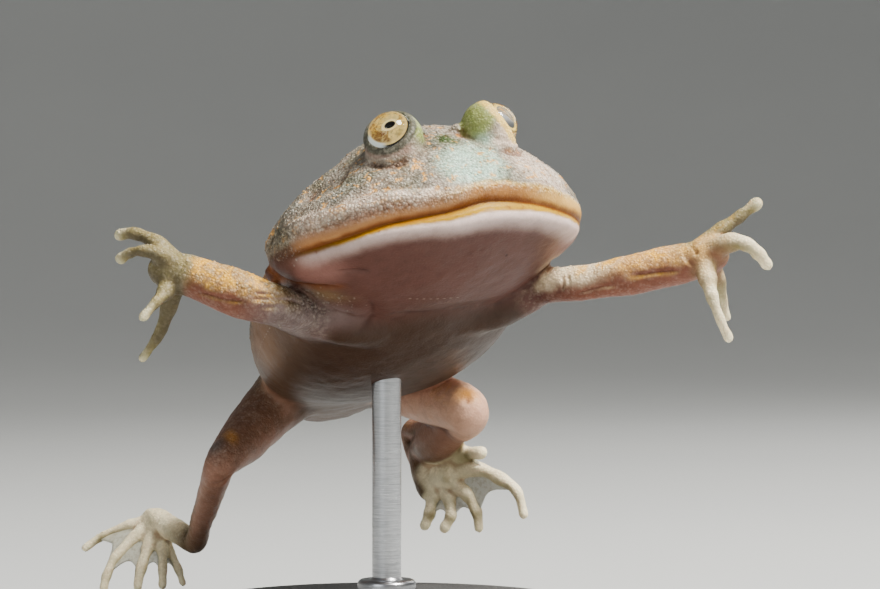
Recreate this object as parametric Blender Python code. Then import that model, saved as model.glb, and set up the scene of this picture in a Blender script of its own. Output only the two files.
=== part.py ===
"""A Budgett's frog at life size, swimming with its arms spread, held up by a plain display stand.

Metres, +Z up. The frog faces -Y and its left side is +X.
The stand's base rests on Z = 0, centred on the origin.
"""

import math

import bmesh
import bpy
import numpy as np
from mathutils import Matrix, Vector

MM = 0.001
GAP = 0.3 * MM

# The pose. Lengths below are in millimetres unless they are multiplied by MM.
JAW_CENTRE = Vector((1.5, -14.0, 67.5))
TORSO_PITCH, TORSO_ROLL = 27.0, 7.5
HEAD_PITCH, HEAD_ROLL, HEAD_TURN = 12.0, 6.5, 4.0

# The torso: distance behind the jaw's centre, half width, rise above and drop below the spine line.
TORSO_STATIONS = (
    (-6.0, 18.0, 9.0, 8.0),
    (2.0, 22.5, 12.0, 13.0),
    (12.0, 23.0, 13.0, 15.5),
    (24.0, 23.3, 13.0, 15.5),
    (36.0, 21.0, 12.0, 13.0),
    (47.0, 17.0, 10.0, 8.6),
    (57.0, 12.0, 8.0, 6.2),
    (63.5, 7.5, 5.6, 4.6),
    (66.8, 4.2, 3.4, 2.8),
    (68.0, 1.4, 1.2, 1.0),
)
# The head, in level outlines: height, half width, reach forward, widest point, reach back.
HEAD_STATIONS = (
    (-12.5, 11.0, 6.0, -2.0, 14.0),
    (-10.0, 17.0, 12.5, -1.0, 16.0),
    (-7.0, 22.0, 18.5, 0.0, 16.0),
    (-4.5, 25.2, 22.7, 0.0, 15.0),
    (-2.3, 26.6, 24.4, 0.0, 14.0),
    (-0.8, 26.2, 23.8, 0.0, 14.0),
    (0.0, 24.0, 21.8, 0.0, 14.0),
    (0.8, 26.6, 24.2, 0.0, 14.0),
    (2.4, 26.8, 25.2, 0.0, 14.0),
    (5.0, 24.9, 24.0, 0.5, 14.0),
    (8.0, 21.8, 21.5, 1.0, 14.0),
    (11.0, 17.6, 18.8, 1.5, 13.0),
    (13.2, 13.5, 16.2, 2.5, 11.0),
    (15.5, 10.4, 13.2, 3.0, 7.0),
    (17.0, 5.4, 9.4, 3.0, 2.0),
)
HEAD_ROUNDNESS = 2.15
MOUTH_ARCH = 1.5
MOUTH_ARCH_FROM, MOUTH_ARCH_TO = 2.0, 9.0
MOUTH_CORNER_FROM, MOUTH_CORNER_TO = 20.0, 26.0
MOUTH_ARCH_DEPTH = 7.0

# The eyes, in the head's frame for the left side, and the lids round them.
EYE_CENTRE = (8.6, -15.6, 13.7)
EYE_RADIUS = 4.2
EYE_OUTWARD, EYE_UPWARD = 52.0, 27.0
LID_RADIUS = 4.85
LID_OPENING = 1.7
# The mound under each eye, as an offset from the eye's centre: outwards, back and up.
EYE_MOUND_OFFSET = (0.1, 0.8, -2.5)
EYE_MOUND_RADIUS = 5.2
# The space kept free in front of each eye's opening: its radius at the lid, and further out.
EYE_VIEW_RADIUS, EYE_VIEW_FLARE, EYE_VIEW_LENGTH = 4.6, 7.0, 6.0
NOSTRIL = (3.0, -16.6, 13.6)
NOSTRIL_RIM = 1.5
NOSTRIL_HOLE = 0.75
NOSTRIL_HOLE_OFFSET = (0.0, -1.05, 1.35)

# The limbs: offset from the jaw's centre (x, y, z) and radius at each point, from inside the body outwards.
ARM_RIGHT = (
    (-12.0, 8.0, -13.5, 5.0),
    (-18.5, 4.0, -13.0, 4.2),
    (-23.5, -3.0, -12.0, 3.5),
    (-28.2, -7.2, -10.9, 3.5),
    (-33.5, -6.3, -9.2, 3.8),
    (-38.0, -4.0, -7.3, 3.5),
    (-41.5, -1.9, -5.9, 3.2),
)
ARM_LEFT = (
    (12.0, 8.0, -10.0, 4.8),
    (18.0, 4.0, -8.6, 4.0),
    (22.5, -2.5, -7.8, 3.1),
    (27.4, -7.3, -7.3, 3.0),
    (32.5, -11.0, -6.3, 3.4),
    (37.0, -14.2, -5.0, 3.45),
    (41.5, -17.5, -3.9, 3.3),
)
LEG_RIGHT = (
    (-8.0, 49.0, -26.0, 6.2),
    (-13.5, 46.3, -30.4, 5.4),
    (-20.4, 39.0, -35.4, 4.3),
    (-25.9, 32.4, -39.0, 3.1),
    (-26.3, 37.0, -42.6, 2.8),
    (-26.0, 44.5, -47.0, 2.7),
    (-25.2, 51.5, -51.4, 2.2),
    (-24.6, 57.3, -55.0, 2.2),
    (-26.0, 62.3, -53.8, 2.3),
    (-27.6, 66.0, -52.6, 2.3),
)
LEG_LEFT = (
    (7.5, 50.5, -24.2, 6.2),
    (11.0, 44.5, -26.2, 5.4),
    (14.6, 33.5, -28.4, 4.8),
    (16.6, 24.6, -29.9, 4.2),
    (18.0, 29.5, -32.4, 3.3),
    (17.8, 37.5, -33.6, 3.2),
    (17.0, 45.5, -34.4, 2.7),
    (16.2, 52.4, -35.2, 2.3),
    (16.6, 50.0, -39.6, 2.4),
    (17.2, 47.2, -42.6, 2.5),
)
CHEST_MUSCLE_RIGHT = (
    (-20.0, 1.5, -12.6, 3.6),
    (-14.0, 1.0, -13.6, 4.2),
    (-8.0, 1.5, -14.3, 4.0),
)
CHEST_MUSCLE_LEFT = (
    (20.0, 1.5, -9.4, 3.4),
    (14.0, 2.0, -11.3, 4.0),
    (8.0, 3.0, -12.9, 3.8),
)

# Fingers and toes: offset from the jaw's centre (x, y, z) and radius, root first.
HAND_RIGHT = {
    "palm": ((-41.2, -2.0, -6.0, 2.7), (-42.8, -1.4, -5.7, 3.2), (-44.0, -0.9, -5.5, 2.8)),
    "digits": (
        ((-42.4, -1.4, -4.4, 2.0), (-45.2, -0.6, -1.2, 1.6), (-48.3, 1.4, 0.4, 1.3), (-50.3, 3.2, 0.2, 1.2)),
        (
            (-42.8, -2.2, -5.1, 2.0),
            (-45.4, -3.1, -3.0, 1.6),
            (-47.9, -2.5, -2.4, 1.3),
            (-49.6, -1.0, -2.8, 1.2),
            (-50.7, 0.4, -3.6, 1.2),
        ),
        (
            (-42.6, -1.8, -7.0, 2.0),
            (-44.6, -3.6, -9.2, 1.6),
            (-46.4, -5.2, -10.8, 1.35),
            (-48.6, -6.2, -13.0, 1.2),
        ),
        (
            (-42.2, -0.6, -7.2, 2.1),
            (-42.6, 1.8, -11.5, 1.7),
            (-43.8, 3.8, -16.0, 1.35),
            (-45.9, 6.0, -19.8, 1.1),
        ),
    ),
}
HAND_LEFT = {
    "palm": ((41.4, -17.4, -3.9, 2.8), (43.0, -18.6, -3.3, 3.3), (44.3, -19.4, -3.0, 2.8)),
    "digits": (
        ((43.0, -18.0, -1.8, 2.0), (46.2, -19.1, 1.5, 1.6), (49.0, -20.0, 3.5, 1.3), (51.6, -21.0, 5.3, 1.2)),
        (
            (43.4, -19.6, -2.4, 2.1),
            (45.8, -23.6, -0.9, 1.6),
            (47.6, -25.7, -1.3, 1.35),
            (49.3, -26.5, -2.8, 1.25),
            (50.9, -26.2, -4.6, 1.2),
        ),
        (
            (42.8, -19.6, -4.2, 2.1),
            (42.2, -22.4, -7.2, 1.6),
            (42.3, -23.8, -10.0, 1.4),
            (43.4, -24.3, -13.4, 1.2),
            (45.0, -24.1, -16.5, 1.1),
        ),
        (
            (44.0, -18.4, -3.9, 2.0),
            (47.2, -15.4, -7.2, 1.5),
            (49.4, -12.6, -10.4, 1.2),
            (50.8, -11.2, -13.4, 1.05),
        ),
    ),
}
FOOT_RIGHT = {
    "palm": ((-27.7, 66.4, -52.4, 2.0), (-28.8, 68.8, -51.8, 2.6), (-29.6, 70.6, -51.5, 2.2)),
    "digits": (
        (
            (-28.2, 68.6, -53.0, 1.5),
            (-27.2, 66.6, -57.4, 1.1),
            (-26.0, 64.6, -60.6, 0.9),
            (-25.4, 63.2, -63.0, 0.75),
        ),
        (
            (-28.4, 68.9, -52.8, 1.6),
            (-28.6, 66.0, -57.0, 1.2),
            (-29.2, 63.4, -60.4, 1.0),
            (-29.6, 61.8, -63.2, 0.8),
        ),
        (
            (-28.8, 69.2, -52.5, 1.7),
            (-31.0, 67.2, -56.5, 1.3),
            (-33.0, 64.8, -60.4, 1.05),
            (-34.0, 63.2, -63.6, 0.8),
        ),
        (
            (-29.2, 69.6, -52.2, 1.8),
            (-33.0, 69.6, -54.8, 1.35),
            (-36.9, 68.6, -58.4, 1.1),
            (-38.9, 67.4, -61.6, 0.95),
            (-39.7, 66.6, -64.0, 0.8),
        ),
        (
            (-29.4, 70.2, -51.8, 1.7),
            (-33.6, 72.6, -52.9, 1.25),
            (-38.0, 75.2, -55.0, 1.0),
            (-41.0, 76.4, -57.2, 0.8),
        ),
    ),
}
FOOT_LEFT = {
    "palm": ((17.4, 46.6, -42.8, 2.2), (18.6, 42.6, -43.0, 2.8), (19.2, 40.0, -43.0, 2.3)),
    "digits": (
        (
            (18.0, 43.4, -43.8, 1.7),
            (16.7, 42.6, -47.0, 1.35),
            (15.9, 42.2, -49.6, 1.15),
            (15.0, 42.4, -51.8, 0.95),
        ),
        (
            (18.4, 42.4, -44.0, 1.8),
            (19.0, 39.8, -47.2, 1.4),
            (18.8, 38.8, -49.8, 1.15),
            (17.8, 39.2, -52.0, 0.95),
        ),
        (
            (19.0, 41.0, -43.4, 1.8),
            (21.4, 37.4, -45.8, 1.4),
            (22.6, 35.8, -48.8, 1.2),
            (23.0, 35.4, -51.9, 0.95),
        ),
        (
            (19.0, 41.2, -42.2, 1.9),
            (22.9, 36.2, -41.2, 1.6),
            (25.9, 31.8, -42.8, 1.4),
            (28.1, 29.2, -45.0, 1.2),
            (29.0, 28.2, -49.0, 0.95),
        ),
        ((18.4, 42.8, -41.0, 1.9), (20.6, 37.4, -38.6, 1.7), (22.2, 32.2, -38.0, 1.4)),
    ),
}
WEB_REACH = 0.75
WEB_SCALLOP = 0.28
WEB_THICKNESS = 0.9
WEB_STEPS = 8

# Where the body is parted. A segment runs between two of its limb's points, inside a slightly wider sleeve.
SLEEVE_MARGIN = 0.7
SLEEVE_GAP = 0.315
WRIST_GAP = 0.42
ARM_SEGMENTS = {"forearm": (3, 6), "upper_arm": (1, 3)}
LEG_SEGMENTS = {"tarsus": (7, 9), "shank": (3, 7), "thigh": (1, 3)}
NECK_POINT = (0.0, 8.0, 0.0)
NECK_LEAN = 31.0
CUTTER_SIZE = 120.0

# Where the skin is smoothed most: on the limbs' roots, and at points of the head, each with a radius.
SHOULDER_BLEND, HIP_BLEND, CHEST_BLEND = 9.0, 10.0, 7.0
HEAD_BLENDS = (
    ((18.0, 12.0, 4.0), 12.0),
    ((-18.0, 12.0, 4.0), 12.0),
    ((0.0, 10.0, 13.0), 13.0),
    ((0.0, 4.0, -13.0), 13.0),
)
BLEND_CORE = 1.4
BLEND_FACTOR, BLEND_TIMES = 0.6, 40
SETTLE_FACTOR, SETTLE_TIMES = 0.5, 2

# The stand.
BASE_RADIUS, BASE_HEIGHT, BASE_BEVEL = 36.0, 5.0, 0.8
ROD_RADIUS = 2.5
ROD_COLLAR_RADIUS, ROD_COLLAR_HEIGHT = 5.0, 4.0
ROD_GAP = 0.33

# How finely each form is meshed: voxel size and triangles kept.
BODY_VOXEL, BODY_TRIANGLES = 0.62, 6200
HAND_VOXEL, HAND_TRIANGLES = 0.42, 650
FOOT_VOXEL, FOOT_TRIANGLES = 0.36, 950
LIMB_SIDES, LIMB_STEPS, DIGIT_SIDES = 16, 4, 12
SLEEVE_SIDES, SLEEVE_STEPS = 14, 2
LIMB_END_ANGLES = (30, 60, 82)
EYE_SEGMENTS, NOSTRIL_SEGMENTS = 18, 12
OUTLINE_SIDES, OUTLINE_STEPS = 56, 3
TORSO_ROUNDNESS = 2.2
BASE_SIDES, ROD_SIDES = 64, 32

FLESH = (0.56, 0.42, 0.36, 1.0)
EYE_GOLD = (0.55, 0.38, 0.14, 1.0)
STEEL = (0.62, 0.62, 0.64, 1.0)
BASE_GREY = (0.05, 0.05, 0.055, 1.0)


def clear_scene():
    for obj in list(bpy.data.objects):
        bpy.data.objects.remove(obj)


def material(name, colour, roughness, metallic=0.0):
    made = bpy.data.materials.new(name)
    made.use_nodes = True
    shader = made.node_tree.nodes["Principled BSDF"]
    shader.inputs["Base Color"].default_value = colour
    shader.inputs["Roughness"].default_value = roughness
    shader.inputs["Metallic"].default_value = metallic
    return made


def place(point):
    """A point given as an offset from the jaw's centre, in metres in the model."""
    return (JAW_CENTRE + Vector(point)) * MM


def turned(pitch, roll, turn):
    """The frame of the head or torso: local +Y runs back along the body, +X is its left and +Z its top."""
    return (
        Matrix.Translation(JAW_CENTRE * MM)
        @ Matrix.Rotation(math.radians(turn), 4, "Z")
        @ Matrix.Rotation(math.radians(-pitch), 4, "X")
        @ Matrix.Rotation(math.radians(-roll), 4, "Y")
    )


TORSO = turned(TORSO_PITCH, TORSO_ROLL, 0.0)
HEAD = turned(HEAD_PITCH, HEAD_ROLL, HEAD_TURN)


def smooth_step(low, high, value):
    t = min(1.0, max(0.0, (value - low) / (high - low)))
    return t * t * (3.0 - 2.0 * t)


def spline(rows, steps):
    """Rows of numbers joined by a Catmull-Rom curve, with a number of steps from each row to the next."""
    rows = np.array(rows, float)
    padded = np.vstack((2 * rows[0] - rows[1], rows, 2 * rows[-1] - rows[-2]))
    found = []
    for i in range(1, len(padded) - 2):
        a, b, c, d = padded[i - 1 : i + 3]
        bend, turn = 2 * a - 5 * b + 4 * c - d, 3 * b - a - 3 * c + d
        for t in np.arange(steps) / steps:
            found.append(0.5 * (2 * b + (c - a) * t + bend * t**2 + turn * t**3))
    found.append(rows[-1])
    return np.array(found)


def new_object(name, vertices, faces):
    mesh = bpy.data.meshes.new(name)
    mesh.from_pydata([tuple(v) for v in vertices], [], faces)
    mesh.update()
    obj = bpy.data.objects.new(name, mesh)
    bpy.context.scene.collection.objects.link(obj)
    return obj


def facing_out(obj):
    """Turns a closed mesh's faces round where they point inwards."""
    shape = bmesh.new()
    shape.from_mesh(obj.data)
    if shape.calc_volume(signed=True) < 0:
        bmesh.ops.reverse_faces(shape, faces=shape.faces)
        shape.to_mesh(obj.data)
    shape.free()
    return obj


def loft(name, rings):
    """A closed skin over rings of points that all have the same number, capped at both ends."""
    count = len(rings[0])
    vertices = [Vector(p) for ring in rings for p in ring]
    faces = []
    for r in range(len(rings) - 1):
        for i in range(count):
            j = (i + 1) % count
            faces.append((r * count + i, r * count + j, (r + 1) * count + j, (r + 1) * count + i))
    for ring, flipped in ((0, True), (len(rings) - 1, False)):
        first = ring * count
        vertices.append(sum((vertices[first + i] for i in range(count)), Vector()) / count)
        hub = len(vertices) - 1
        for i in range(count):
            j = (i + 1) % count
            faces.append((hub, first + j, first + i) if flipped else (hub, first + i, first + j))
    return facing_out(new_object(name, vertices, faces))


def oval(half_x, rise, drop, roundness, count):
    """Points round an outline that reaches half_x to each side, rise above and drop below its centre."""
    points = []
    for i in range(count):
        angle = 2 * math.pi * i / count
        across, up = math.cos(angle), math.sin(angle)
        x = half_x * math.copysign(abs(across) ** (2 / roundness), across)
        y = (rise if up > 0 else drop) * math.copysign(abs(up) ** (2 / roundness), up)
        points.append((x, y))
    return points


def round_limb(name, stations, sides=LIMB_SIDES, steps=LIMB_STEPS, wider=0.0):
    """A round-ended tube through points with radii, all made wider by an amount."""
    rows = spline([(*row[:3], row[3] + wider) for row in stations], steps)
    centres = [place(row[:3]) for row in rows]
    last = len(rows) - 1
    side = (centres[1] - centres[0]).orthogonal().normalized()
    rings = []
    for i, centre in enumerate(centres):
        axis = (centres[min(i + 1, last)] - centres[max(i - 1, 0)]).normalized()
        side = (side - axis * side.dot(axis)).normalized()
        up = axis.cross(side)
        before = [-a for a in reversed(LIMB_END_ANGLES)] if i == 0 else []
        after = list(LIMB_END_ANGLES) if i == last else []
        for lean in (math.radians(a) for a in (*before, 0, *after)):
            middle = centre + axis * rows[i][3] * MM * math.sin(lean)
            radius = rows[i][3] * MM * math.cos(lean)
            turns = (2 * math.pi * k / sides for k in range(sides))
            rings.append([middle + (side * math.cos(a) + up * math.sin(a)) * radius for a in turns])
    return loft(name, rings)


def ball(name, centre, radius, segments=EYE_SEGMENTS):
    """A sphere at a point of the head's frame."""
    at = HEAD @ (Vector(centre) * MM)
    rings = []
    for k in range(1, segments // 2):
        lean = math.pi * k / (segments // 2) - math.pi / 2
        wide, high = radius * MM * math.cos(lean), radius * MM * math.sin(lean)
        turns = (2 * math.pi * i / segments for i in range(segments))
        rings.append([at + Vector((math.cos(a) * wide, math.sin(a) * wide, high)) for a in turns])
    return loft(name, rings)


def torso_form():
    rings = []
    for back, half, rise, drop in spline(TORSO_STATIONS, OUTLINE_STEPS):
        outline = oval(half, rise, drop, TORSO_ROUNDNESS, OUTLINE_SIDES)
        rings.append([TORSO @ (Vector((x, back, z)) * MM) for x, z in outline])
    return loft("torso_form", rings)


def mouth_shift(x, z):
    """How far the mouth's line and the lips sink beside the peak under the snout."""
    beside = smooth_step(MOUTH_ARCH_FROM, MOUTH_ARCH_TO, abs(x))
    corner = smooth_step(MOUTH_CORNER_FROM, MOUTH_CORNER_TO, abs(x))
    return -MOUTH_ARCH * beside * (1 - corner) * math.exp(-((z / MOUTH_ARCH_DEPTH) ** 2))


def head_form():
    rings = []
    for height, half, front, middle, back in spline(HEAD_STATIONS, OUTLINE_STEPS):
        ring = []
        for x, y in oval(half, back + middle, front - middle, HEAD_ROUNDNESS, OUTLINE_SIDES):
            ring.append(HEAD @ (Vector((x, y - middle, height + mouth_shift(x, height))) * MM))
        rings.append(ring)
    return loft("head_form", rings)


def eye_axis(side):
    """The way an eye looks, in the head's frame; side is 1 for the left eye and -1 for the right."""
    out, up = math.radians(EYE_OUTWARD), math.radians(EYE_UPWARD)
    return Vector((side * math.sin(out) * math.cos(up), -math.cos(out) * math.cos(up), math.sin(up)))


def beside(side, point, offset=(0.0, 0.0, 0.0)):
    """A point of the head's left side, moved by an offset, and then mirrored where side is -1."""
    moved = Vector(point) + Vector(offset)
    return Vector((side * moved.x, moved.y, moved.z))


def cube_beyond(point, normal, size):
    """A cube whose one face lies at a point, across a normal, on the side that the normal points to."""
    corners = [Vector((x, y, z)) for x in (-0.5, 0.5) for y in (-0.5, 0.5) for z in (0.0, 1.0)]
    turn = Vector(normal).to_track_quat("Z", "Y").to_matrix()
    faces = [(0, 1, 3, 2), (4, 6, 7, 5), (0, 4, 5, 1), (2, 3, 7, 6), (0, 2, 6, 4), (1, 5, 7, 3)]
    return facing_out(new_object("cutter", [Vector(point) + turn @ (c * size) for c in corners], faces))


def lid_form(side):
    """A dome of skin over the back of the eye, open where the eye looks out."""
    lid = ball("lid_form", beside(side, EYE_CENTRE), LID_RADIUS)
    axis = eye_axis(side)
    opening = HEAD @ ((beside(side, EYE_CENTRE) + axis * LID_OPENING) * MM)
    boolean(lid, cube_beyond(opening, HEAD.to_3x3() @ axis, 4 * LID_RADIUS * MM), "DIFFERENCE")
    return lid


def eye_view(side):
    """A flared plug in front of an eye's opening."""
    axis = eye_axis(side)
    across = axis.orthogonal().normalized()
    up = axis.cross(across)
    rings = []
    for out, radius in ((LID_OPENING, EYE_VIEW_RADIUS), (LID_OPENING + EYE_VIEW_LENGTH, EYE_VIEW_FLARE)):
        middle = beside(side, EYE_CENTRE) + axis * out
        turns = (2 * math.pi * i / EYE_SEGMENTS for i in range(EYE_SEGMENTS))
        ring = [middle + (across * math.cos(a) + up * math.sin(a)) * radius for a in turns]
        rings.append([HEAD @ (point * MM) for point in ring])
    return loft("view", rings)


def applied(obj):
    """Turns what an object's modifiers make into its mesh."""
    graph = bpy.context.evaluated_depsgraph_get()
    mesh = bpy.data.meshes.new_from_object(obj.evaluated_get(graph))
    obj.modifiers.clear()
    obj.data = mesh
    return obj


def boolean(obj, other, operation):
    """Cuts or joins with another object, which is then removed."""
    modifier = obj.modifiers.new("boolean", "BOOLEAN")
    modifier.operation = operation
    modifier.object = other
    applied(obj)
    bpy.data.objects.remove(other)
    return obj


def joined(name, pieces):
    """One object that holds all the pieces' closed meshes, still crossing one another."""
    vertices, faces = [], []
    for piece in pieces:
        first = len(vertices)
        vertices += [v.co.copy() for v in piece.data.vertices]
        faces += [tuple(first + i for i in p.vertices) for p in piece.data.polygons]
        bpy.data.objects.remove(piece)
    return new_object(name, vertices, faces)


def fused(name, pieces, voxel, triangles, soft_spots=()):
    """One closed skin over all the pieces, softened where they meet and thinned to a number of triangles."""
    whole = joined(name, pieces)
    remesh = whole.modifiers.new("skin", "REMESH")
    remesh.mode = "VOXEL"
    remesh.voxel_size = voxel * MM
    applied(whole)
    soften(whole, soft_spots)
    thin = whole.modifiers.new("thin", "DECIMATE")
    thin.ratio = min(1.0, triangles / (2 * len(whole.data.polygons)))
    return applied(whole)


def soften(whole, spots):
    """Smooths a skin all over a little, and strongly near some points, given with radii."""
    places = np.empty(len(whole.data.vertices) * 3)
    whole.data.vertices.foreach_get("co", places)
    places = places.reshape(-1, 3)
    weights = np.zeros(len(places))
    for point, radius in spots:
        far = np.linalg.norm(places - np.array(point), axis=1) / (radius * MM)
        weights = np.maximum(weights, np.clip(BLEND_CORE * (1 - far), 0, 1))
    group = whole.vertex_groups.new(name="spots")
    for index in np.nonzero(weights > 0)[0]:
        group.add([int(index)], float(weights[index]), "REPLACE")
    if spots:
        strong = whole.modifiers.new("blend", "SMOOTH")
        strong.factor, strong.iterations = BLEND_FACTOR, BLEND_TIMES
        strong.vertex_group = "spots"
    light = whole.modifiers.new("settle", "SMOOTH")
    light.factor, light.iterations = SETTLE_FACTOR, SETTLE_TIMES
    return applied(whole)


def body_whole():
    """Head, torso, arms and legs down to wrists and ankles, as one closed skin."""
    pieces = [torso_form(), head_form()]
    for side in (1, -1):
        pieces.append(ball("mound", beside(side, EYE_CENTRE, EYE_MOUND_OFFSET), EYE_MOUND_RADIUS))
        pieces.append(ball("nostril", beside(side, NOSTRIL), NOSTRIL_RIM))
    limbs = (ARM_RIGHT, ARM_LEFT, LEG_RIGHT, LEG_LEFT, CHEST_MUSCLE_RIGHT, CHEST_MUSCLE_LEFT)
    pieces += [round_limb("limb", stations) for stations in limbs]
    spots = [(place(limb[1][:3]), SHOULDER_BLEND) for limb in (ARM_RIGHT, ARM_LEFT)]
    spots += [(place(limb[1][:3]), HIP_BLEND) for limb in (LEG_RIGHT, LEG_LEFT)]
    spots += [(place(muscle[2][:3]), CHEST_BLEND) for muscle in (CHEST_MUSCLE_RIGHT, CHEST_MUSCLE_LEFT)]
    spots += [(HEAD @ (Vector(point) * MM), radius) for point, radius in HEAD_BLENDS]
    whole = fused("body", pieces, BODY_VOXEL, BODY_TRIANGLES, spots)
    for side in (1, -1):
        boolean(whole, lid_form(side), "UNION")
        boolean(whole, eye_view(side), "DIFFERENCE")
        boolean(whole, ball("socket", beside(side, EYE_CENTRE), EYE_RADIUS + GAP / MM), "DIFFERENCE")
        hole = ball("hole", beside(side, NOSTRIL, NOSTRIL_HOLE_OFFSET), NOSTRIL_HOLE, NOSTRIL_SEGMENTS)
        boolean(whole, hole, "DIFFERENCE")
    return whole


def point_along(line, share):
    """The point at a share of the way along a row of points."""
    at = share * (len(line) - 1)
    first = min(int(at), len(line) - 2)
    return line[first] + (line[first + 1] - line[first]) * (at - first)


def web(toe_a, toe_b):
    """A thin sheet of skin between two toes, its free edge scalloped."""
    lines = [spline([row[:3] for row in toe], LIMB_STEPS) for toe in (toe_a, toe_b)]
    side = WEB_STEPS + 1
    points, faces = [], []
    for k in range(side):
        share = k / WEB_STEPS
        reach = WEB_REACH * (1.0 - WEB_SCALLOP * math.sin(math.pi * share))
        for step in range(side):
            near, far = (point_along(line, reach * step / WEB_STEPS) for line in lines)
            points.append(place(near * (1 - share) + far * share))
    for k in range(WEB_STEPS):
        for step in range(WEB_STEPS):
            first = k * side + step
            faces.append((first, first + 1, first + side + 1, first + side))
    sheet = new_object("web", points, faces)
    thick = sheet.modifiers.new("thick", "SOLIDIFY")
    thick.thickness = WEB_THICKNESS * MM
    thick.offset = 0.0
    return applied(sheet)


def extremity(name, shape, limb, last_segment, voxel, triangles, webbed):
    """A hand or foot, hollowed at its root to take the round end of its limb."""
    digits = shape["digits"]
    pieces = [round_limb("palm", shape["palm"])]
    pieces += [round_limb("digit", digit, DIGIT_SIDES) for digit in digits]
    if webbed:
        pieces += [web(a, b) for a, b in zip(digits, digits[1:])]
    form = fused(name, pieces, voxel, triangles)
    first, last = last_segment
    end = round_limb("end", limb[first : last + 1], SLEEVE_SIDES, SLEEVE_STEPS, WRIST_GAP)
    return largest(boolean(form, end, "DIFFERENCE"))


def largest(obj):
    """Keeps only the largest separate surface of an object."""
    shape = bmesh.new()
    shape.from_mesh(obj.data)
    left = set(shape.verts)
    found = []
    while left:
        piece, edge = set(), {left.pop()}
        while edge:
            piece |= edge
            edge = {e.other_vert(v) for v in edge for e in v.link_edges} - piece
        left -= piece
        found.append(piece)
    keep = max(found, key=len)
    bmesh.ops.delete(shape, geom=[v for v in shape.verts if v not in keep], context="VERTS")
    shape.to_mesh(obj.data)
    shape.free()
    return obj


def taken(name, whole, inner, outer):
    """Takes what of the whole lies inside one form, and clears the whole out to a slightly larger one."""
    piece = new_object(name, [], [])
    piece.data = whole.data.copy()
    boolean(piece, inner, "INTERSECT")
    boolean(whole, outer, "DIFFERENCE")
    return largest(piece)


def part_body(whole):
    """Parts the whole into limb segments, from the tips inwards, and then into head and torso."""
    nodes = {}
    limbs = (
        ("left", ARM_LEFT, ARM_SEGMENTS),
        ("right", ARM_RIGHT, ARM_SEGMENTS),
        ("left", LEG_LEFT, LEG_SEGMENTS),
        ("right", LEG_RIGHT, LEG_SEGMENTS),
    )
    for side, limb, segments in limbs:
        for part, (first, last) in segments.items():
            name = part + "_" + side
            stations = limb[first : last + 1]
            inner, outer = (
                round_limb("sleeve", stations, SLEEVE_SIDES, SLEEVE_STEPS, margin)
                for margin in (SLEEVE_MARGIN, SLEEVE_MARGIN + SLEEVE_GAP)
            )
            nodes[name] = taken(name, whole, inner, outer)
    at = TORSO @ (Vector(NECK_POINT) * MM)
    lean = math.radians(NECK_LEAN)
    ahead = TORSO.to_3x3() @ Vector((0, -math.cos(lean), math.sin(lean)))
    front, wider_front = (cube_beyond(at - ahead * gap, ahead, CUTTER_SIZE * MM) for gap in (0.0, GAP))
    nodes["head"] = taken("head", whole, front, wider_front)
    whole.name = "torso"
    nodes["torso"] = largest(whole)
    return nodes


def turned_form(name, profile, sides):
    """An upright turned solid from (radius, height) pairs, bottom first."""
    angles = [2 * math.pi * k / sides for k in range(sides)]
    rings = []
    for radius, height in profile:
        rings.append([Vector((math.cos(a) * radius, math.sin(a) * radius, height)) * MM for a in angles])
    return loft(name, rings)


def stand(torso):
    """A flat round base and one rod up to the belly."""
    rim = BASE_HEIGHT - BASE_BEVEL
    outline = ((BASE_RADIUS, 0.0), (BASE_RADIUS, rim), (BASE_RADIUS - BASE_BEVEL, BASE_HEIGHT))
    base = turned_form("stand_base", outline, BASE_SIDES)
    foot = BASE_HEIGHT + GAP / MM
    shoulder = foot + ROD_COLLAR_HEIGHT
    outline = (
        (ROD_COLLAR_RADIUS, foot),
        (ROD_COLLAR_RADIUS, shoulder - BASE_BEVEL),
        (ROD_COLLAR_RADIUS - BASE_BEVEL, shoulder),
        (ROD_RADIUS, shoulder),
        (ROD_RADIUS, JAW_CENTRE.z),
    )
    rod = turned_form("stand_rod", outline, ROD_SIDES)
    belly = new_object("belly", [], [])
    belly.data = torso.data.copy()
    swell = belly.modifiers.new("swell", "DISPLACE")
    swell.strength, swell.mid_level = ROD_GAP * MM, 0.0
    applied(belly)
    return [base, largest(boolean(rod, belly, "DIFFERENCE"))]


def main():
    clear_scene()
    flesh = material("skin", FLESH, 0.45)
    gold = material("eye", EYE_GOLD, 0.1)
    steel = material("rod_steel", STEEL, 0.3, 1.0)
    dark = material("base_finish", BASE_GREY, 0.5)

    nodes = part_body(body_whole())
    hand = (HAND_VOXEL, HAND_TRIANGLES, False)
    foot = (FOOT_VOXEL, FOOT_TRIANGLES, True)
    wrist, ankle = ARM_SEGMENTS["forearm"], LEG_SEGMENTS["tarsus"]
    nodes["hand_left"] = extremity("hand_left", HAND_LEFT, ARM_LEFT, wrist, *hand)
    nodes["hand_right"] = extremity("hand_right", HAND_RIGHT, ARM_RIGHT, wrist, *hand)
    nodes["foot_left"] = extremity("foot_left", FOOT_LEFT, LEG_LEFT, ankle, *foot)
    nodes["foot_right"] = extremity("foot_right", FOOT_RIGHT, LEG_RIGHT, ankle, *foot)
    for obj in nodes.values():
        obj.data.materials.append(flesh)
        obj.data.shade_smooth()
    for name, side in (("eye_left", 1), ("eye_right", -1)):
        eye = ball(name, beside(side, EYE_CENTRE), EYE_RADIUS)
        eye.data.materials.append(gold)
        eye.data.shade_smooth()
    for piece in stand(nodes["torso"]):
        piece.data.materials.append(dark if piece.name == "stand_base" else steel)


main()
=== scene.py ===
"""A Budgett's frog at life size, swimming with its arms spread, on a plain display stand.

The frog faces -Y and its left side is +X. Points in the tables are in millimetres, in one of the
frog's own frames, and every mesh is in metres in the row's frame.
"""

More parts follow.
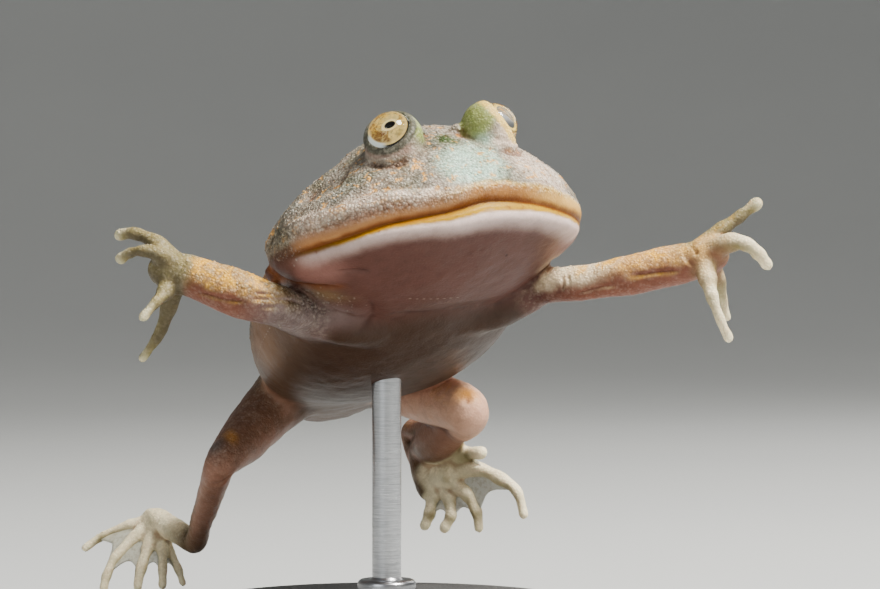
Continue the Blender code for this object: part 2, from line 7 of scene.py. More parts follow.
from __future__ import annotations

import logging
import math
from dataclasses import dataclass, field
from enum import Enum
from typing import Iterable, Sequence

import bpy
import numpy as np
from bpy.types import Material, Mesh, Node, NodeSocket, NodeTree, Object
from mathutils import Matrix, Vector
from mathutils.bvhtree import BVHTree

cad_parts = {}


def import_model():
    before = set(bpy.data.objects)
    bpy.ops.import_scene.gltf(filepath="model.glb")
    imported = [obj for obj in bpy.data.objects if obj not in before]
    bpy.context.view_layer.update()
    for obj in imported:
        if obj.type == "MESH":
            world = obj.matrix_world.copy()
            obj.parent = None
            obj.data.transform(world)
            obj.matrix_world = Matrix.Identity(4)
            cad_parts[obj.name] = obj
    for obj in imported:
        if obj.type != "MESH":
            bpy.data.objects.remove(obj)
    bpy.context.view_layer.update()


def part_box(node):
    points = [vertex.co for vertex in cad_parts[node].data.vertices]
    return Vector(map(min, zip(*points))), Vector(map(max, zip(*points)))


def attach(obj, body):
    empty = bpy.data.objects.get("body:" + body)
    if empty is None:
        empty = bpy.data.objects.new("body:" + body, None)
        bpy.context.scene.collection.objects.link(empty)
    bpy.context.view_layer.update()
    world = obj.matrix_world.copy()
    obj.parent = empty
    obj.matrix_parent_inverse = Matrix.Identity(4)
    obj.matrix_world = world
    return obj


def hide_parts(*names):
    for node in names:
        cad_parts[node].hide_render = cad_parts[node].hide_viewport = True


LOG = logging.getLogger("frog")
MM = 0.001
BODY = "root"
Point = tuple[float, float, float]
Station = tuple[float, float, float, float]
Tint = tuple[float, float, float, float]
Profile = Sequence[tuple[float, float]]
Aim = tuple[np.ndarray, np.ndarray, np.ndarray]


# Frames, curves and forms


@dataclass(frozen=True)
class Bearing:
    """A frame centred on the jaw: +Y runs back along the frog, +X is its left and +Z its top."""

    pitch: float = 0.0
    roll: float = 0.0
    turn: float = 0.0
    origin: Point = (1.5, -14.0, 67.5)

    def matrix(self) -> np.ndarray:
        """The frame's turn.

        Returns:
            The turn as a 3 by 3 array.
        """
        turned = (
            Matrix.Rotation(math.radians(self.turn), 3, "Z")
            @ Matrix.Rotation(math.radians(-self.pitch), 3, "X")
            @ Matrix.Rotation(math.radians(-self.roll), 3, "Y")
        )
        return np.array(turned)

    def placed(self, points: np.ndarray) -> np.ndarray:
        """Turns points in this frame's millimetres into metres in the row's frame."""
        return (np.asarray(points, float) @ self.matrix().T + np.array(self.origin)) * MM

    def local(self, points: np.ndarray) -> np.ndarray:
        """Turns points in metres in the row's frame into this frame's millimetres."""
        return (np.asarray(points, float) / MM - np.array(self.origin)) @ self.matrix()


JAW = Bearing()
TORSO = Bearing(pitch=27.0, roll=7.5)
HEAD = Bearing(pitch=12.0, roll=6.5, turn=4.0)


def smooth_step(low: np.ndarray | float, high: np.ndarray | float, value: np.ndarray | float) -> np.ndarray:
    """Rises smoothly from 0 at low to 1 at high."""
    t = np.clip((np.asarray(value, float) - low) / (high - low), 0.0, 1.0)
    return t * t * (3.0 - 2.0 * t)


def bell(value: np.ndarray, centre: np.ndarray | float, width: np.ndarray | float) -> np.ndarray:
    """1 at a centre, falling off smoothly over a width on both sides."""
    return np.exp(-(((value - centre) / width) ** 2))


def spline(rows: Sequence[Sequence[float]], steps: int) -> np.ndarray:
    """Joins rows of numbers by a Catmull-Rom curve.

    Args:
        rows: The rows that the curve passes through.
        steps: How many steps lead from each row to the next.

    Returns:
        The rows along the curve, first and last included.
    """
    given = np.array(rows, float)
    padded = np.vstack((2 * given[0] - given[1], given, 2 * given[-1] - given[-2]))
    t = (np.arange(steps) / steps)[:, None]
    found = []
    for i in range(1, len(padded) - 2):
        a, b, c, d = padded[i - 1 : i + 3]
        bend, turn = 2 * a - 5 * b + 4 * c - d, 3 * b - a - 3 * c + d
        found.append(0.5 * (2 * b + (c - a) * t + bend * t**2 + turn * t**3))
    return np.vstack((*found, given[-1:]))


def oval(half: float, rise: float, drop: float, roundness: float, count: int) -> np.ndarray:
    """Points round an outline that reaches half to each side, rise above and drop below its centre.

    Args:
        half: The reach to each side.
        rise: The reach upwards.
        drop: The reach downwards.
        roundness: 2 for an ellipse, more for a boxier outline.
        count: How many points.

    Returns:
        The points, one in a row.
    """
    angle = 2 * math.pi * np.arange(count) / count
    across, up = np.cos(angle), np.sin(angle)
    x = half * np.sign(across) * np.abs(across) ** (2 / roundness)
    y = np.where(up > 0, rise, drop) * np.sign(up) * np.abs(up) ** (2 / roundness)
    return np.stack((x, y), axis=1)


def new_object(name: str, points: np.ndarray, faces: Sequence[Sequence[int]]) -> Object:
    """Makes a mesh object, in the scene, from points in metres and faces.

    Args:
        name: Its name.
        points: The points in metres.
        faces: The faces.

    Returns:
        The object.
    """
    mesh = bpy.data.meshes.new(name)
    mesh.from_pydata(np.asarray(points, float).tolist(), [], [tuple(f) for f in faces])
    mesh.update()
    obj = bpy.data.objects.new(name, mesh)
    bpy.context.scene.collection.objects.link(obj)
    return obj


def applied(obj: Object) -> Object:
    """Turns what an object's modifiers make into its mesh.

    Args:
        obj: The object.

    Returns:
        The same object.
    """
    graph = bpy.context.evaluated_depsgraph_get()
    mesh = bpy.data.meshes.new_from_object(obj.evaluated_get(graph))
    obj.modifiers.clear()
    obj.data = mesh
    mesh.name = obj.name
    return obj


def keep_numbers(mesh: Mesh, name: str, values: np.ndarray) -> None:
    """Keeps one number for each point on a mesh."""
    attribute = mesh.attributes.new(name, "FLOAT", "POINT")
    attribute.data.foreach_set("value", values.astype(np.float32))


def finished(piece: Object, material: Material, sharp_angle: float | None = None) -> Object:
    """Gives a piece its material and its shading, and logs it.

    Args:
        piece: The piece.
        material: Its material.
        sharp_angle: The angle, in degrees, from which its edges stay sharp, if they do.

    Returns:
        The piece.
    """
    piece.data.materials.clear()
    piece.data.materials.append(material)
    piece.data.shade_smooth()
    if sharp_angle is not None:
        piece.data.set_sharp_from_angle(angle=math.radians(sharp_angle))
    LOG.info("%s: %d faces", piece.name, len(piece.data.polygons))
    return piece


@dataclass
class Form:
    """A closed shell of points, in metres, and faces that look outwards."""

    points: np.ndarray
    faces: list[tuple[int, ...]]

    @classmethod
    def lofted(cls, rings: np.ndarray) -> Form:
        """A skin over rings of equally many points, capped at both ends.

        Args:
            rings: The points, as an array of ring, place in the ring, and coordinate.

        Returns:
            The closed form.
        """
        rows, count = rings.shape[:2]
        points = np.vstack((rings.reshape(-1, 3), rings[0].mean(axis=0), rings[-1].mean(axis=0)))
        faces: list[tuple[int, ...]] = []
        for i in range(count):
            j = (i + 1) % count
            for first in range(0, (rows - 1) * count, count):
                faces.append((first + i, first + j, first + count + j, first + count + i))
            last = (rows - 1) * count
            faces.append((rows * count, j, i))
            faces.append((rows * count + 1, last + i, last + j))
        return cls(points, faces).facing_out()

    def facing_out(self) -> Form:
        """Turns the faces round where they point inwards.

        Returns:
            The form.
        """
        volume = 0.0
        for face in self.faces:
            first = self.points[face[0]]
            for a, b in zip(face[1:], face[2:]):
                volume += float(first @ np.cross(self.points[a], self.points[b]))
        if volume < 0:
            self.faces = [face[::-1] for face in self.faces]
        return self

    def made(self, name: str) -> Object:
        """The form as an object in the scene."""
        return new_object(name, self.points, self.faces)


def tube(stations: np.ndarray, sides: int, ends: Sequence[float] = (30.0, 60.0, 82.0)) -> Form:
    """A round-ended tube.

    Args:
        stations: Rows of a point in metres and a radius in metres.
        sides: How many points each ring has.
        ends: The angles, in degrees, of the rings that round off each end.

    Returns:
        The closed form.
    """
    centres = [Vector(row[:3]) for row in stations]
    last = len(centres) - 1
    side = (centres[1] - centres[0]).orthogonal().normalized()
    rings = []
    for i, centre in enumerate(centres):
        axis = (centres[min(i + 1, last)] - centres[max(i - 1, 0)]).normalized()
        side = (side - axis * side.dot(axis)).normalized()
        up = axis.cross(side)
        before = [-a for a in reversed(ends)] if i == 0 else []
        after = list(ends) if i == last else []
        for lean in (math.radians(a) for a in (*before, 0.0, *after)):
            middle = centre + axis * stations[i][3] * math.sin(lean)
            radius = stations[i][3] * math.cos(lean)
            turns = (2 * math.pi * k / sides for k in range(sides))
            rings.append([middle + (side * math.cos(a) + up * math.sin(a)) * radius for a in turns])
    return Form.lofted(np.array(rings))


def limb_tube(stations: Sequence[Station], sides: int, steps: int) -> Form:
    """A round-ended tube through points of the jaw's frame with radii, in millimetres."""
    rows = spline(stations, steps)
    return tube(np.hstack((JAW.placed(rows[:, :3]), rows[:, 3:] * MM)), sides)


def ball(centre: np.ndarray, radius: float, segments: int) -> Form:
    """A sphere round a point in metres, with its poles along Z.

    Args:
        centre: The point.
        radius: The radius in metres.
        segments: How many points go round it.

    Returns:
        The sphere.
    """
    lean = np.linspace(-0.5, 0.5, segments // 2 + 1)[1:-1] * math.pi
    turn = 2 * math.pi * np.arange(segments) / segments
    rings = np.empty((len(lean), segments, 3))
    rings[..., 0] = np.cos(lean)[:, None] * np.cos(turn)
    rings[..., 1] = np.cos(lean)[:, None] * np.sin(turn)
    rings[..., 2] = np.sin(lean)[:, None]
    return Form.lofted(rings * radius + centre)


def joined(name: str, forms: Iterable[Form]) -> Object:
    """One object that holds closed forms, which may still cross one another.

    Args:
        name: The object's name.
        forms: The forms.

    Returns:
        The object.
    """
    points: list[np.ndarray] = []
    faces: list[tuple[int, ...]] = []
    first = 0
    for form in forms:
        points.append(form.points)
        faces += [tuple(first + i for i in face) for face in form.faces]
        first += len(form.points)
    return new_object(name, np.vstack(points), faces)


def form_of(obj: Object) -> Form:
    """Takes an object out of the scene and gives its mesh as a form.

    Args:
        obj: The object.

    Returns:
        The form.
    """
    points = np.array([v.co for v in obj.data.vertices], float)
    faces = [tuple(p.vertices) for p in obj.data.polygons]
    bpy.data.objects.remove(obj)
    return Form(points, faces)


def cut(form: Form, cutters: Iterable[Form]) -> Form:
    """Cuts closed forms out of another.

    Args:
        form: The form that stays.
        cutters: The forms that are taken away.

    Returns:
        What is left.
    """
    obj = form.made("cut")
    tools = [cutter.made("cutter") for cutter in cutters]
    for tool in tools:
        modifier = obj.modifiers.new("cut", "BOOLEAN")
        modifier.operation = "DIFFERENCE"
        modifier.object = tool
    applied(obj)
    for tool in tools:
        bpy.data.objects.remove(tool)
    return form_of(obj)


def lattice_noise(points: np.ndarray, cell: float, seed: int) -> np.ndarray:
    """Smooth random values from -1 to 1 at points, that change over about one cell.

    Args:
        points: The places, in any unit.
        cell: The cell's size in the same unit.
        seed: The number that fixes the values.

    Returns:
        One value for each point.
    """
    scaled = points / cell
    base = np.floor(scaled).astype(np.int64)
    t = scaled - base
    t = t * t * (3 - 2 * t)
    total = np.zeros(len(points))
    for corner in range(8):
        step = np.array((corner & 1, corner >> 1 & 1, corner >> 2 & 1))
        at = base + step
        mixed = at[:, 0] * 73856093 ^ at[:, 1] * 19349663 ^ at[:, 2] * 83492791 ^ seed * 2654435761
        mixed = (mixed ^ mixed >> 13) * 1274126177 & 0x7FFFFFFF
        mixed = (mixed ^ mixed >> 16) & 0xFFFF
        share = np.where(step == 1, t, 1 - t).prod(axis=1)
        total += share * (mixed / 32767.5 - 1.0)
    return total


def line_distance(points: np.ndarray, line: np.ndarray) -> tuple[np.ndarray, np.ndarray]:
    """How far points lie from a row of joined points.

    Args:
        points: The points to measure.
        line: The joined points, in the same frame and unit.

    Returns:
        The distance of each point, and where on the line it is nearest, from 0 to 1.
    """
    best = np.full(len(points), np.inf)
    where = np.zeros(len(points))
    count = len(line) - 1
    for i in range(count):
        along = line[i + 1] - line[i]
        t = np.clip((points - line[i]) @ along / max(along @ along, 1e-12), 0, 1)
        far = np.linalg.norm(points - line[i] - t[:, None] * along, axis=1)
        closer = far < best
        best[closer] = far[closer]
        where[closer] = (i + t[closer]) / count
    return best, where


# Node trees


def linear(red: int, green: int, blue: int) -> Tint:
    """A colour of 0 to 255 values on a screen, as the linear numbers that a shader takes."""
    return (*((v / 255 / 12.92) if v < 11 else ((v / 255 + 0.055) / 1.055) ** 2.4 for v in (red, green, blue)), 1.0)


class Graph:
    """A node tree that is being filled, with short calls for its nodes."""

    def __init__(self, tree: NodeTree) -> None:
        """Starts on a tree, which keeps the nodes it has."""
        self.tree = tree

    def feed(self, node: Node, inputs: dict) -> None:
        """Sets a node's inputs.

        Args:
            node: The node.
            inputs: What each input gets, by its name or number: an output socket or a value.
        """
        for name, value in inputs.items():
            if isinstance(value, NodeSocket):
                self.tree.links.new(value, node.inputs[name])
            else:
                node.inputs[name].default_value = value

    def node(self, kind: str, inputs: dict | None = None, **settings: object) -> Node:
        """Adds a node.

        Args:
            kind: The node's type name.
            inputs: What each input gets, as feed takes it.
            settings: The node's own settings.

        Returns:
            The node.
        """
        made = self.tree.nodes.new(kind)
        for name, value in settings.items():
            setattr(made, name, value)
        self.feed(made, inputs or {})
        return made

    def math(self, operation: str, a: object, b: object = 0.0, c: object = 0.0) -> NodeSocket:
        """A sum or other operation on numbers."""
        return self.node("ShaderNodeMath", {0: a, 1: b, 2: c}, operation=operation).outputs[0]

    def times(self, a: object, b: object) -> NodeSocket:
        """One number times another."""
        return self.math("MULTIPLY", a, b)

    def scaled(self, value: object, factor: object, plus: object) -> NodeSocket:
        """A number times a factor, plus another number."""
        return self.math("MULTIPLY_ADD", value, factor, plus)

    def mix(self, factor: object, a: object, b: object, mode: str = "MIX") -> NodeSocket:
        """Two colours mixed by a factor."""
        made = self.node("ShaderNodeMix", {0: factor, 6: a, 7: b}, data_type="RGBA", blend_type=mode)
        return made.outputs[2]

    def span(self, value: object, low: float, high: float, to_low: float = 0.0, to_high: float = 1.0) -> NodeSocket:
        """A value carried from one range to another, smoothly and without leaving it."""
        inputs = {"Value": value, 1: low, 2: high, 3: to_low, 4: to_high}
        return self.node("ShaderNodeMapRange", inputs, interpolation_type="SMOOTHSTEP").outputs[0]

    def attribute(self, name: str) -> NodeSocket:
        """A number kept on the mesh."""
        return self.node("ShaderNodeAttribute", attribute_name=name).outputs["Fac"]

    def tint(self, name: str) -> NodeSocket:
        """A colour kept on the mesh."""
        return self.node("ShaderNodeAttribute", attribute_name=name).outputs["Color"]

    def place(self) -> NodeSocket:
        """Object coordinates."""
        return self.node("ShaderNodeTexCoord").outputs["Object"]

    def noise(
        self, place: object, scale: float, detail: float = 3.0, roughness: float = 0.5, distortion: float = 0.0
    ) -> NodeSocket:
        """Soft noise from 0 to 1.

        Args:
            place: The coordinates.
            scale: How many lumps lie on a metre.
            detail: How many finer layers are added.
            roughness: How strong the finer layers are.
            distortion: How far the lumps are pulled about.

        Returns:
            The noise.
        """
        inputs = {"Vector": place, "Scale": scale, "Detail": detail, "Roughness": roughness}
        return self.node("ShaderNodeTexNoise", {**inputs, "Distortion": distortion}).outputs["Fac"]

    def bump(self, strength: float, distance: float, height: object) -> NodeSocket:
        """A shading normal from a height, with its distance in metres."""
        inputs = {"Strength": strength, "Distance": distance, "Height": height}
        return self.node("ShaderNodeBump", inputs).outputs["Normal"]


def material_graph(name: str) -> tuple[Material, Graph, Node]:
    """Starts a material.

    Args:
        name: The material's name.

    Returns:
        The material, its graph and its main shader.
    """
    made = bpy.data.materials.new(name)
    made.use_nodes = True
    return made, Graph(made.node_tree), made.node_tree.nodes["Principled BSDF"]


def grain_group() -> NodeTree:
    """Gives the shader group that skin, webs and stand share, and builds it the first time.

    Returns:
        The group: fine grain as a height and a mask.
    """
    name = "fine_grain"
    if name in bpy.data.node_groups:
        return bpy.data.node_groups[name]
    tree = bpy.data.node_groups.new(name, "ShaderNodeTree")
    tree.interface.new_socket("Place", in_out="INPUT", socket_type="NodeSocketVector")
    for label, value in (("Scale", 1000.0), ("Roughness", 0.6)):
        socket = tree.interface.new_socket(label, in_out="INPUT", socket_type="NodeSocketFloat")
        socket.default_value = value
    for label in ("Height", "Mask"):
        tree.interface.new_socket(label, in_out="OUTPUT", socket_type="NodeSocketFloat")
    graph = Graph(tree)
    given = graph.node("NodeGroupInput").outputs
    inputs = {"Vector": given["Place"], "Scale": given["Scale"], "Roughness": given["Roughness"], "Detail": 4.0}
    height = graph.node("ShaderNodeTexNoise", inputs).outputs["Fac"]
    graph.node("NodeGroupOutput", {"Height": height, "Mask": graph.span(height, 0.42, 0.66)})
    return tree


def grain(graph: Graph, place: object, scale: float, roughness: float = 0.6) -> Node:
    """Places the shared grain group in a material."""
    inputs = {"Place": place, "Scale": scale, "Roughness": roughness}
    return graph.node("ShaderNodeGroup", inputs, node_tree=grain_group())


class Hue(Enum):
    """The colours that the frog's skin is painted with."""

    BACK = linear(104, 86, 62)
    BACK_BLOTCH = linear(172, 112, 58)
    HEAD_GREY = linear(166, 154, 138)
    HEAD_OLIVE = linear(124, 122, 96)
    HEAD_MINT = linear(196, 230, 208)
    HEAD_GREEN = linear(74, 94, 48)
    HEAD_SLATE = linear(92, 106, 98)
    CHEEK = linear(244, 220, 198)
    # Painted highlight along the top of the upper lip's roll, and on the lip's far left.
    LIP_HIGHLIGHT = linear(238, 198, 106)
    LIP_TAN = linear(176, 122, 66)
    LIP_MAUVE = linear(164, 124, 100)
    # Brown: painted shade under the upper lip, and the lining's own specks.
    LIP_BROWN = linear(116, 60, 12)
    # The lining's amber, deepened as painted shade under the upper lip.
    MOUTH_AMBER_SHADED = linear(150, 92, 0)
    MOUTH_YELLOW = linear(178, 138, 0)
    LIP_WHITE = linear(228, 204, 196)
    # Painted shade: the throat's pink and mauve, darkened as on the shaded underside.
    THROAT_SHADED = linear(90, 58, 50)
    THROAT_PINK_SHADED = linear(136, 94, 84)
    # Painted shade: the belly's mauve brown, darkened as on its shaded underside.
    BELLY_SHADED = linear(64, 45, 34)
    # Painted shade: the flanks' tan, darkened as in shade.
    FLANK_SHADED = linear(90, 66, 49)
    FLANK_OCHRE = linear(134, 90, 48)
    FOLD_OCHRE = linear(140, 76, 14)
    ARM_GOLD = linear(190, 152, 92)
    # Partly painted highlight: the left arm's cream, made lighter where the light falls on it.
    ARM_CREAM_LIT = linear(255, 232, 192)
    # Painted shade: the pink beneath the arms and the left hand, darkened as on shaded undersides.
    ARM_PINK_SHADED = linear(128, 78, 60)
    ARM_GOLD_LIT = linear(228, 176, 106)
    ARM_OLIVE = linear(126, 104, 68)
    ARM_MAUVE = linear(112, 94, 90)
    FINGER = linear(140, 128, 86)
    FINGER_PALE = linear(252, 238, 198)
    # Painted shade: the colour beneath the fingers and on the right palm, darkened as in shade.
    FINGER_SHADE = linear(92, 82, 58)
    THIGH_LIT = linear(212, 166, 140)
    THIGH = linear(150, 108, 88)
    # Painted shade: the shanks' brown, darkened as in shade.
    SHIN_SHADED = linear(84, 64, 40)
    KNEE = linear(226, 156, 62)
    KNEE_SLATE = linear(96, 90, 88)
    FOOT = linear(246, 232, 194)
    LID_GREEN = linear(138, 152, 74)
    LID_RIM = linear(244, 206, 108)
    LID_PINK = linear(150, 122, 108)
    LID_SHADE = linear(84, 84, 72)
    FINGER_TIP = linear(206, 198, 160)
    VEIN = linear(50, 28, 20)


# What the skin's mesh keeps for its finish; the last one is for its granules.
MASKS = ("warty", "flecked", "golden", "hollow", "granular")


@dataclass(frozen=True)
class SkinFinish:
    """Wet, granular frog skin over the colours painted on the mesh."""

    roughness: float = 0.46
    specular: float = 0.14
    coat: float = 0.03
    coat_roughness: float = 0.2
    scatter: float = 0.07
    scatter_radius: Point = (0.0026, 0.001, 0.0006)
    granule_scale: float = 2100.0
    swirl_scale: float = 1100.0
    warp: float = 0.0005
    grain_scale: float = 5200.0
    relief: float = 0.0002

    def made(self) -> Material:
        """Builds the material.

        Returns:
            The skin's material.
        """
        material, graph, shader = material_graph("skin")
        place = graph.place()
        warty, flecked, golden, hollow = (graph.attribute(name) for name in MASKS[:4])
        swirl = graph.node("ShaderNodeTexNoise", {"Vector": place, "Scale": self.swirl_scale, "Detail": 2.0})
        warp = {0: swirl.outputs["Color"], 1: (self.warp,) * 3, 2: place}
        bent = graph.node("ShaderNodeVectorMath", warp, operation="MULTIPLY_ADD").outputs[0]
        granule = graph.node("ShaderNodeTexVoronoi", {"Vector": bent, "Scale": self.granule_scale}, feature="F1")
        away = granule.outputs["Distance"]
        random = graph.node("ShaderNodeSeparateColor", {"Color": granule.outputs["Color"]}).outputs[0]
        mottle = graph.noise(place, 560.0, 4.0, 0.62, 0.3)
        broad = graph.noise(place, 150.0, 4.0, 0.6)
        spots = graph.noise(place, 640.0, 2.0, 0.55, 0.4)
        patches = graph.noise(place, 430.0, 3.0, 0.6, 0.4)
        fine = grain(graph, place, self.grain_scale)
        # The painted tint is broken up by dull patches, mottling, single granules and flecks, and darkened as painted
        # shade in the gaps between granules.
        layers = (
            (broad, 0.38, 0.66, 0.55, graph.scaled(warty, 0.5, 0.5), (0.68, 0.66, 0.58, 1.0), "MULTIPLY"),
            (mottle, 0.5, 0.36, 0.6, graph.scaled(warty, 0.6, 0.36), (0.55, 0.5, 0.47, 1.0), "MULTIPLY"),
            (mottle, 0.5, 0.68, 0.34, warty, (0.42, 0.38, 0.31, 1.0), "SCREEN"),
            (random, 0.55, 0.2, 0.4, warty, (0.56, 0.55, 0.56, 1.0), "MULTIPLY"),
            (random, 0.5, 0.98, 0.42, warty, (0.46, 0.42, 0.34, 1.0), "SCREEN"),
            (spots, 0.55, 0.7, 0.8, flecked, linear(240, 176, 82), "MIX"),
            (patches, 0.46, 0.62, 1.0, golden, linear(238, 178, 56), "MIX"),
            (away, 0.36, 0.74, 0.66, warty, (0.34, 0.29, 0.27, 1.0), "MULTIPLY"),
        )
        colour = graph.tint("tint")
        for value, low, high, most, where, shade, mode in layers:
            share = graph.times(graph.span(value, low, high, 0.0, most), where)
            colour = graph.mix(share, colour, shade, mode)
        # Painted shade: darker in the skin's folds.
        colour = graph.mix(hollow, colour, (0.42, 0.26, 0.2, 1.0), "MULTIPLY")
        colour = graph.mix(graph.times(fine.outputs["Mask"], 0.2), colour, (0.62, 0.57, 0.54, 1.0), "MULTIPLY")
        # Granules rise where the skin is warty; soft lumps and fine grain are everywhere.
        domes = graph.times(graph.span(away, 0.05, 0.7, 1.0, 0.0), graph.scaled(warty, 0.85, 0.1))
        relief = graph.scaled(mottle, graph.scaled(warty, 0.6, 0.4), domes)
        relief = graph.scaled(fine.outputs["Height"], 0.2, relief)
        inputs = {
            "Base Color": colour,
            "Roughness": graph.scaled(fine.outputs["Height"], 0.24, self.roughness - 0.12),
            "Normal": graph.bump(0.9, self.relief, relief),
            "Specular IOR Level": self.specular,
            "Coat Weight": self.coat,
            "Coat Roughness": self.coat_roughness,
            "Subsurface Weight": self.scatter,
            "Subsurface Radius": self.scatter_radius,
            "Subsurface Scale": 1.0,
        }
        graph.feed(shader, inputs)
        return material


@dataclass(frozen=True)
class WebFinish:
    """The thin, milky skin between the toes."""

    roughness: float = 0.35
    coat: float = 0.3
    scatter: float = 0.15
    scatter_radius: Point = (0.001, 0.0008, 0.0006)

    def made(self) -> Material:
        """Builds the material.

        Returns:
            The webs' material.
        """
        material, graph, shader = material_graph("web")
        fine = grain(graph, graph.place(), 1400.0)
        colour = graph.mix(fine.outputs["Mask"], linear(186, 184, 166), linear(150, 146, 128))
        inputs = {
            "Base Color": graph.mix(graph.attribute("ray"), colour, linear(214, 206, 180)),
            "Alpha": graph.scaled(fine.outputs["Height"], 0.3, 0.55),
            "Normal": graph.bump(0.4, 0.0001, fine.outputs["Height"]),
            "Roughness": self.roughness,
            "Coat Weight": self.coat,
            "Subsurface Weight": self.scatter,
            "Subsurface Radius": self.scatter_radius,
            "Subsurface Scale": 1.0,
        }
        graph.feed(shader, inputs)
        return material


@dataclass(frozen=True)
class IrisFinish:
    """The golden iris, its cream-ringed pupil and the pale ball round it."""

    specular: float = 0.15

    def made(self) -> Material:
        """Builds the material. The mesh gives the way out from the pupil, in millimetres, and round it.

        Returns:
            The iris's material.
        """
        material, graph, shader = material_graph("iris")
        place = graph.place()
        out, pupil, low, lower = (graph.attribute(name) for name in ("out", "pupil", "low", "lower"))
        streaks = graph.noise(place, 1700.0, 4.0, 0.7, 1.0)
        wide = graph.noise(place, 600.0, 3.0, 0.6, 0.6)
        brown = graph.times(lower, graph.span(wide, 0.7, 0.42))
        # From the iris outwards: gold, brown, its cream edge and dark rim, with a painted white glint low on its outer
        # edge; then the pupil.
        layers = (
            (graph.span(wide, 0.42, 0.6, 0.0, 0.6), linear(250, 228, 150)),
            (graph.times(brown, 0.85), linear(88, 46, 12)),
            (graph.span(out, 2.4, 2.9, 0.0, 0.75), linear(250, 220, 140)),
            (graph.span(out, 3.02, 3.16), linear(20, 17, 12)),
            (graph.times(low, graph.span(out, 2.6, 2.85)), linear(236, 244, 246)),
            (graph.span(pupil, 1.75, 1.5), linear(250, 228, 164)),
            (graph.span(pupil, 1.1, 0.96), linear(6, 5, 7)),
        )
        colour = graph.mix(graph.span(streaks, 0.42, 0.58), linear(136, 88, 26), linear(236, 190, 78))
        for share, shade in layers:
            colour = graph.mix(share, colour, shade)
        inputs = {
            "Base Color": colour,
            "Roughness": graph.span(streaks, 0.3, 0.7, 0.25, 0.45),
            "Normal": graph.bump(0.3, 0.0001, streaks),
            "Specular IOR Level": self.specular,
        }
        graph.feed(shader, inputs)
        return material


@dataclass(frozen=True)
class CorneaFinish:
    """The clear, wet dome over the iris."""

    ior: float = 1.37
    tint: Tint = (0.97, 0.98, 0.98, 1.0)

    def made(self) -> Material:
        """Builds the material.

        Returns:
            The cornea's material.
        """
        material, graph, shader = material_graph("cornea")
        inputs = {"Base Color": self.tint, "Roughness": 0.0, "Transmission Weight": 1.0, "IOR": self.ior}
        graph.feed(shader, inputs)
        return material


@dataclass(frozen=True)
class BaseFinish:
    """The base's satin black paint, slightly dusty and worn pale on its edge."""

    def made(self) -> Material:
        """Builds the material.

        Returns:
            The base's material.
        """
        material, graph, shader = material_graph("base_paint")
        place = graph.place()
        fine = grain(graph, place, 2400.0)
        dust = graph.noise(place, 90.0, 5.0, 0.65)
        colour = graph.mix(graph.span(dust, 0.4, 0.75, 0.0, 0.35), linear(38, 38, 41), linear(84, 82, 80))
        worn = graph.times(graph.attribute("edge"), fine.outputs["Mask"])
        inputs = {
            "Base Color": graph.mix(worn, colour, linear(120, 118, 114)),
            "Roughness": graph.scaled(dust, 0.3, 0.28),
            "Normal": graph.bump(0.25, 0.00008, fine.outputs["Height"]),
        }
        graph.feed(shader, inputs)
        return material


@dataclass(frozen=True)
class SteelFinish:
    """The rod's steel, brushed round."""

    stretch: Point = (1.0, 1.0, 26.0)

    def made(self) -> Material:
        """Builds the material.

        Returns:
            The rod's material.
        """
        material, graph, shader = material_graph("rod_steel")
        mapped = graph.node("ShaderNodeMapping", {"Vector": graph.place(), "Scale": self.stretch}).outputs[0]
        brushed = grain(graph, mapped, 260.0, 0.7)
        inputs = {
            "Base Color": graph.mix(brushed.outputs["Mask"], linear(196, 197, 200), linear(166, 168, 172)),
            "Roughness": graph.scaled(brushed.outputs["Height"], 0.25, 0.18),
            "Normal": graph.bump(0.15, 0.00005, brushed.outputs["Height"]),
            "Metallic": 1.0,
        }
        graph.feed(shader, inputs)
        return material


# The frog


def aimed(side: int, outward: float, upward: float) -> Aim:
    """The way that an eye or its opening faces, in the head's frame.

    Args:
        side: 1 for the left eye, -1 for the right.
        outward: How far it turns out from straight ahead, in degrees.
        upward: How far it turns up, in degrees.

    Returns:
        The axis, and the directions level and up across it.
    """
    out, up = math.radians(outward), math.radians(upward)
    axis = np.array((side * math.sin(out) * math.cos(up), -math.cos(out) * math.cos(up), math.sin(up)))
    level = np.cross((0.0, 0.0, 1.0), axis)
    level /= np.linalg.norm(level)
    return axis, level, np.cross(axis, level)


def rings_round(centre: np.ndarray, aim: Aim, profile: Profile, count: int) -> np.ndarray:
    """Rings of points round an axis in the head.

    Args:
        centre: Where the axis starts, in the head's frame.
        aim: The axis and the directions across it, as aimed gives them.
        profile: How far out each ring lies along the axis, and its radius.
        count: How many points a ring has.

    Returns:
        The rings in metres, as Form.lofted takes them.
    """
    axis, level, up = aim
    turn = (2 * math.pi * np.arange(count) / count)[:, None]
    way = level * np.cos(turn) + up * np.sin(turn)
    return np.array([HEAD.placed(centre + axis * out + way * radius) for out, radius in profile])


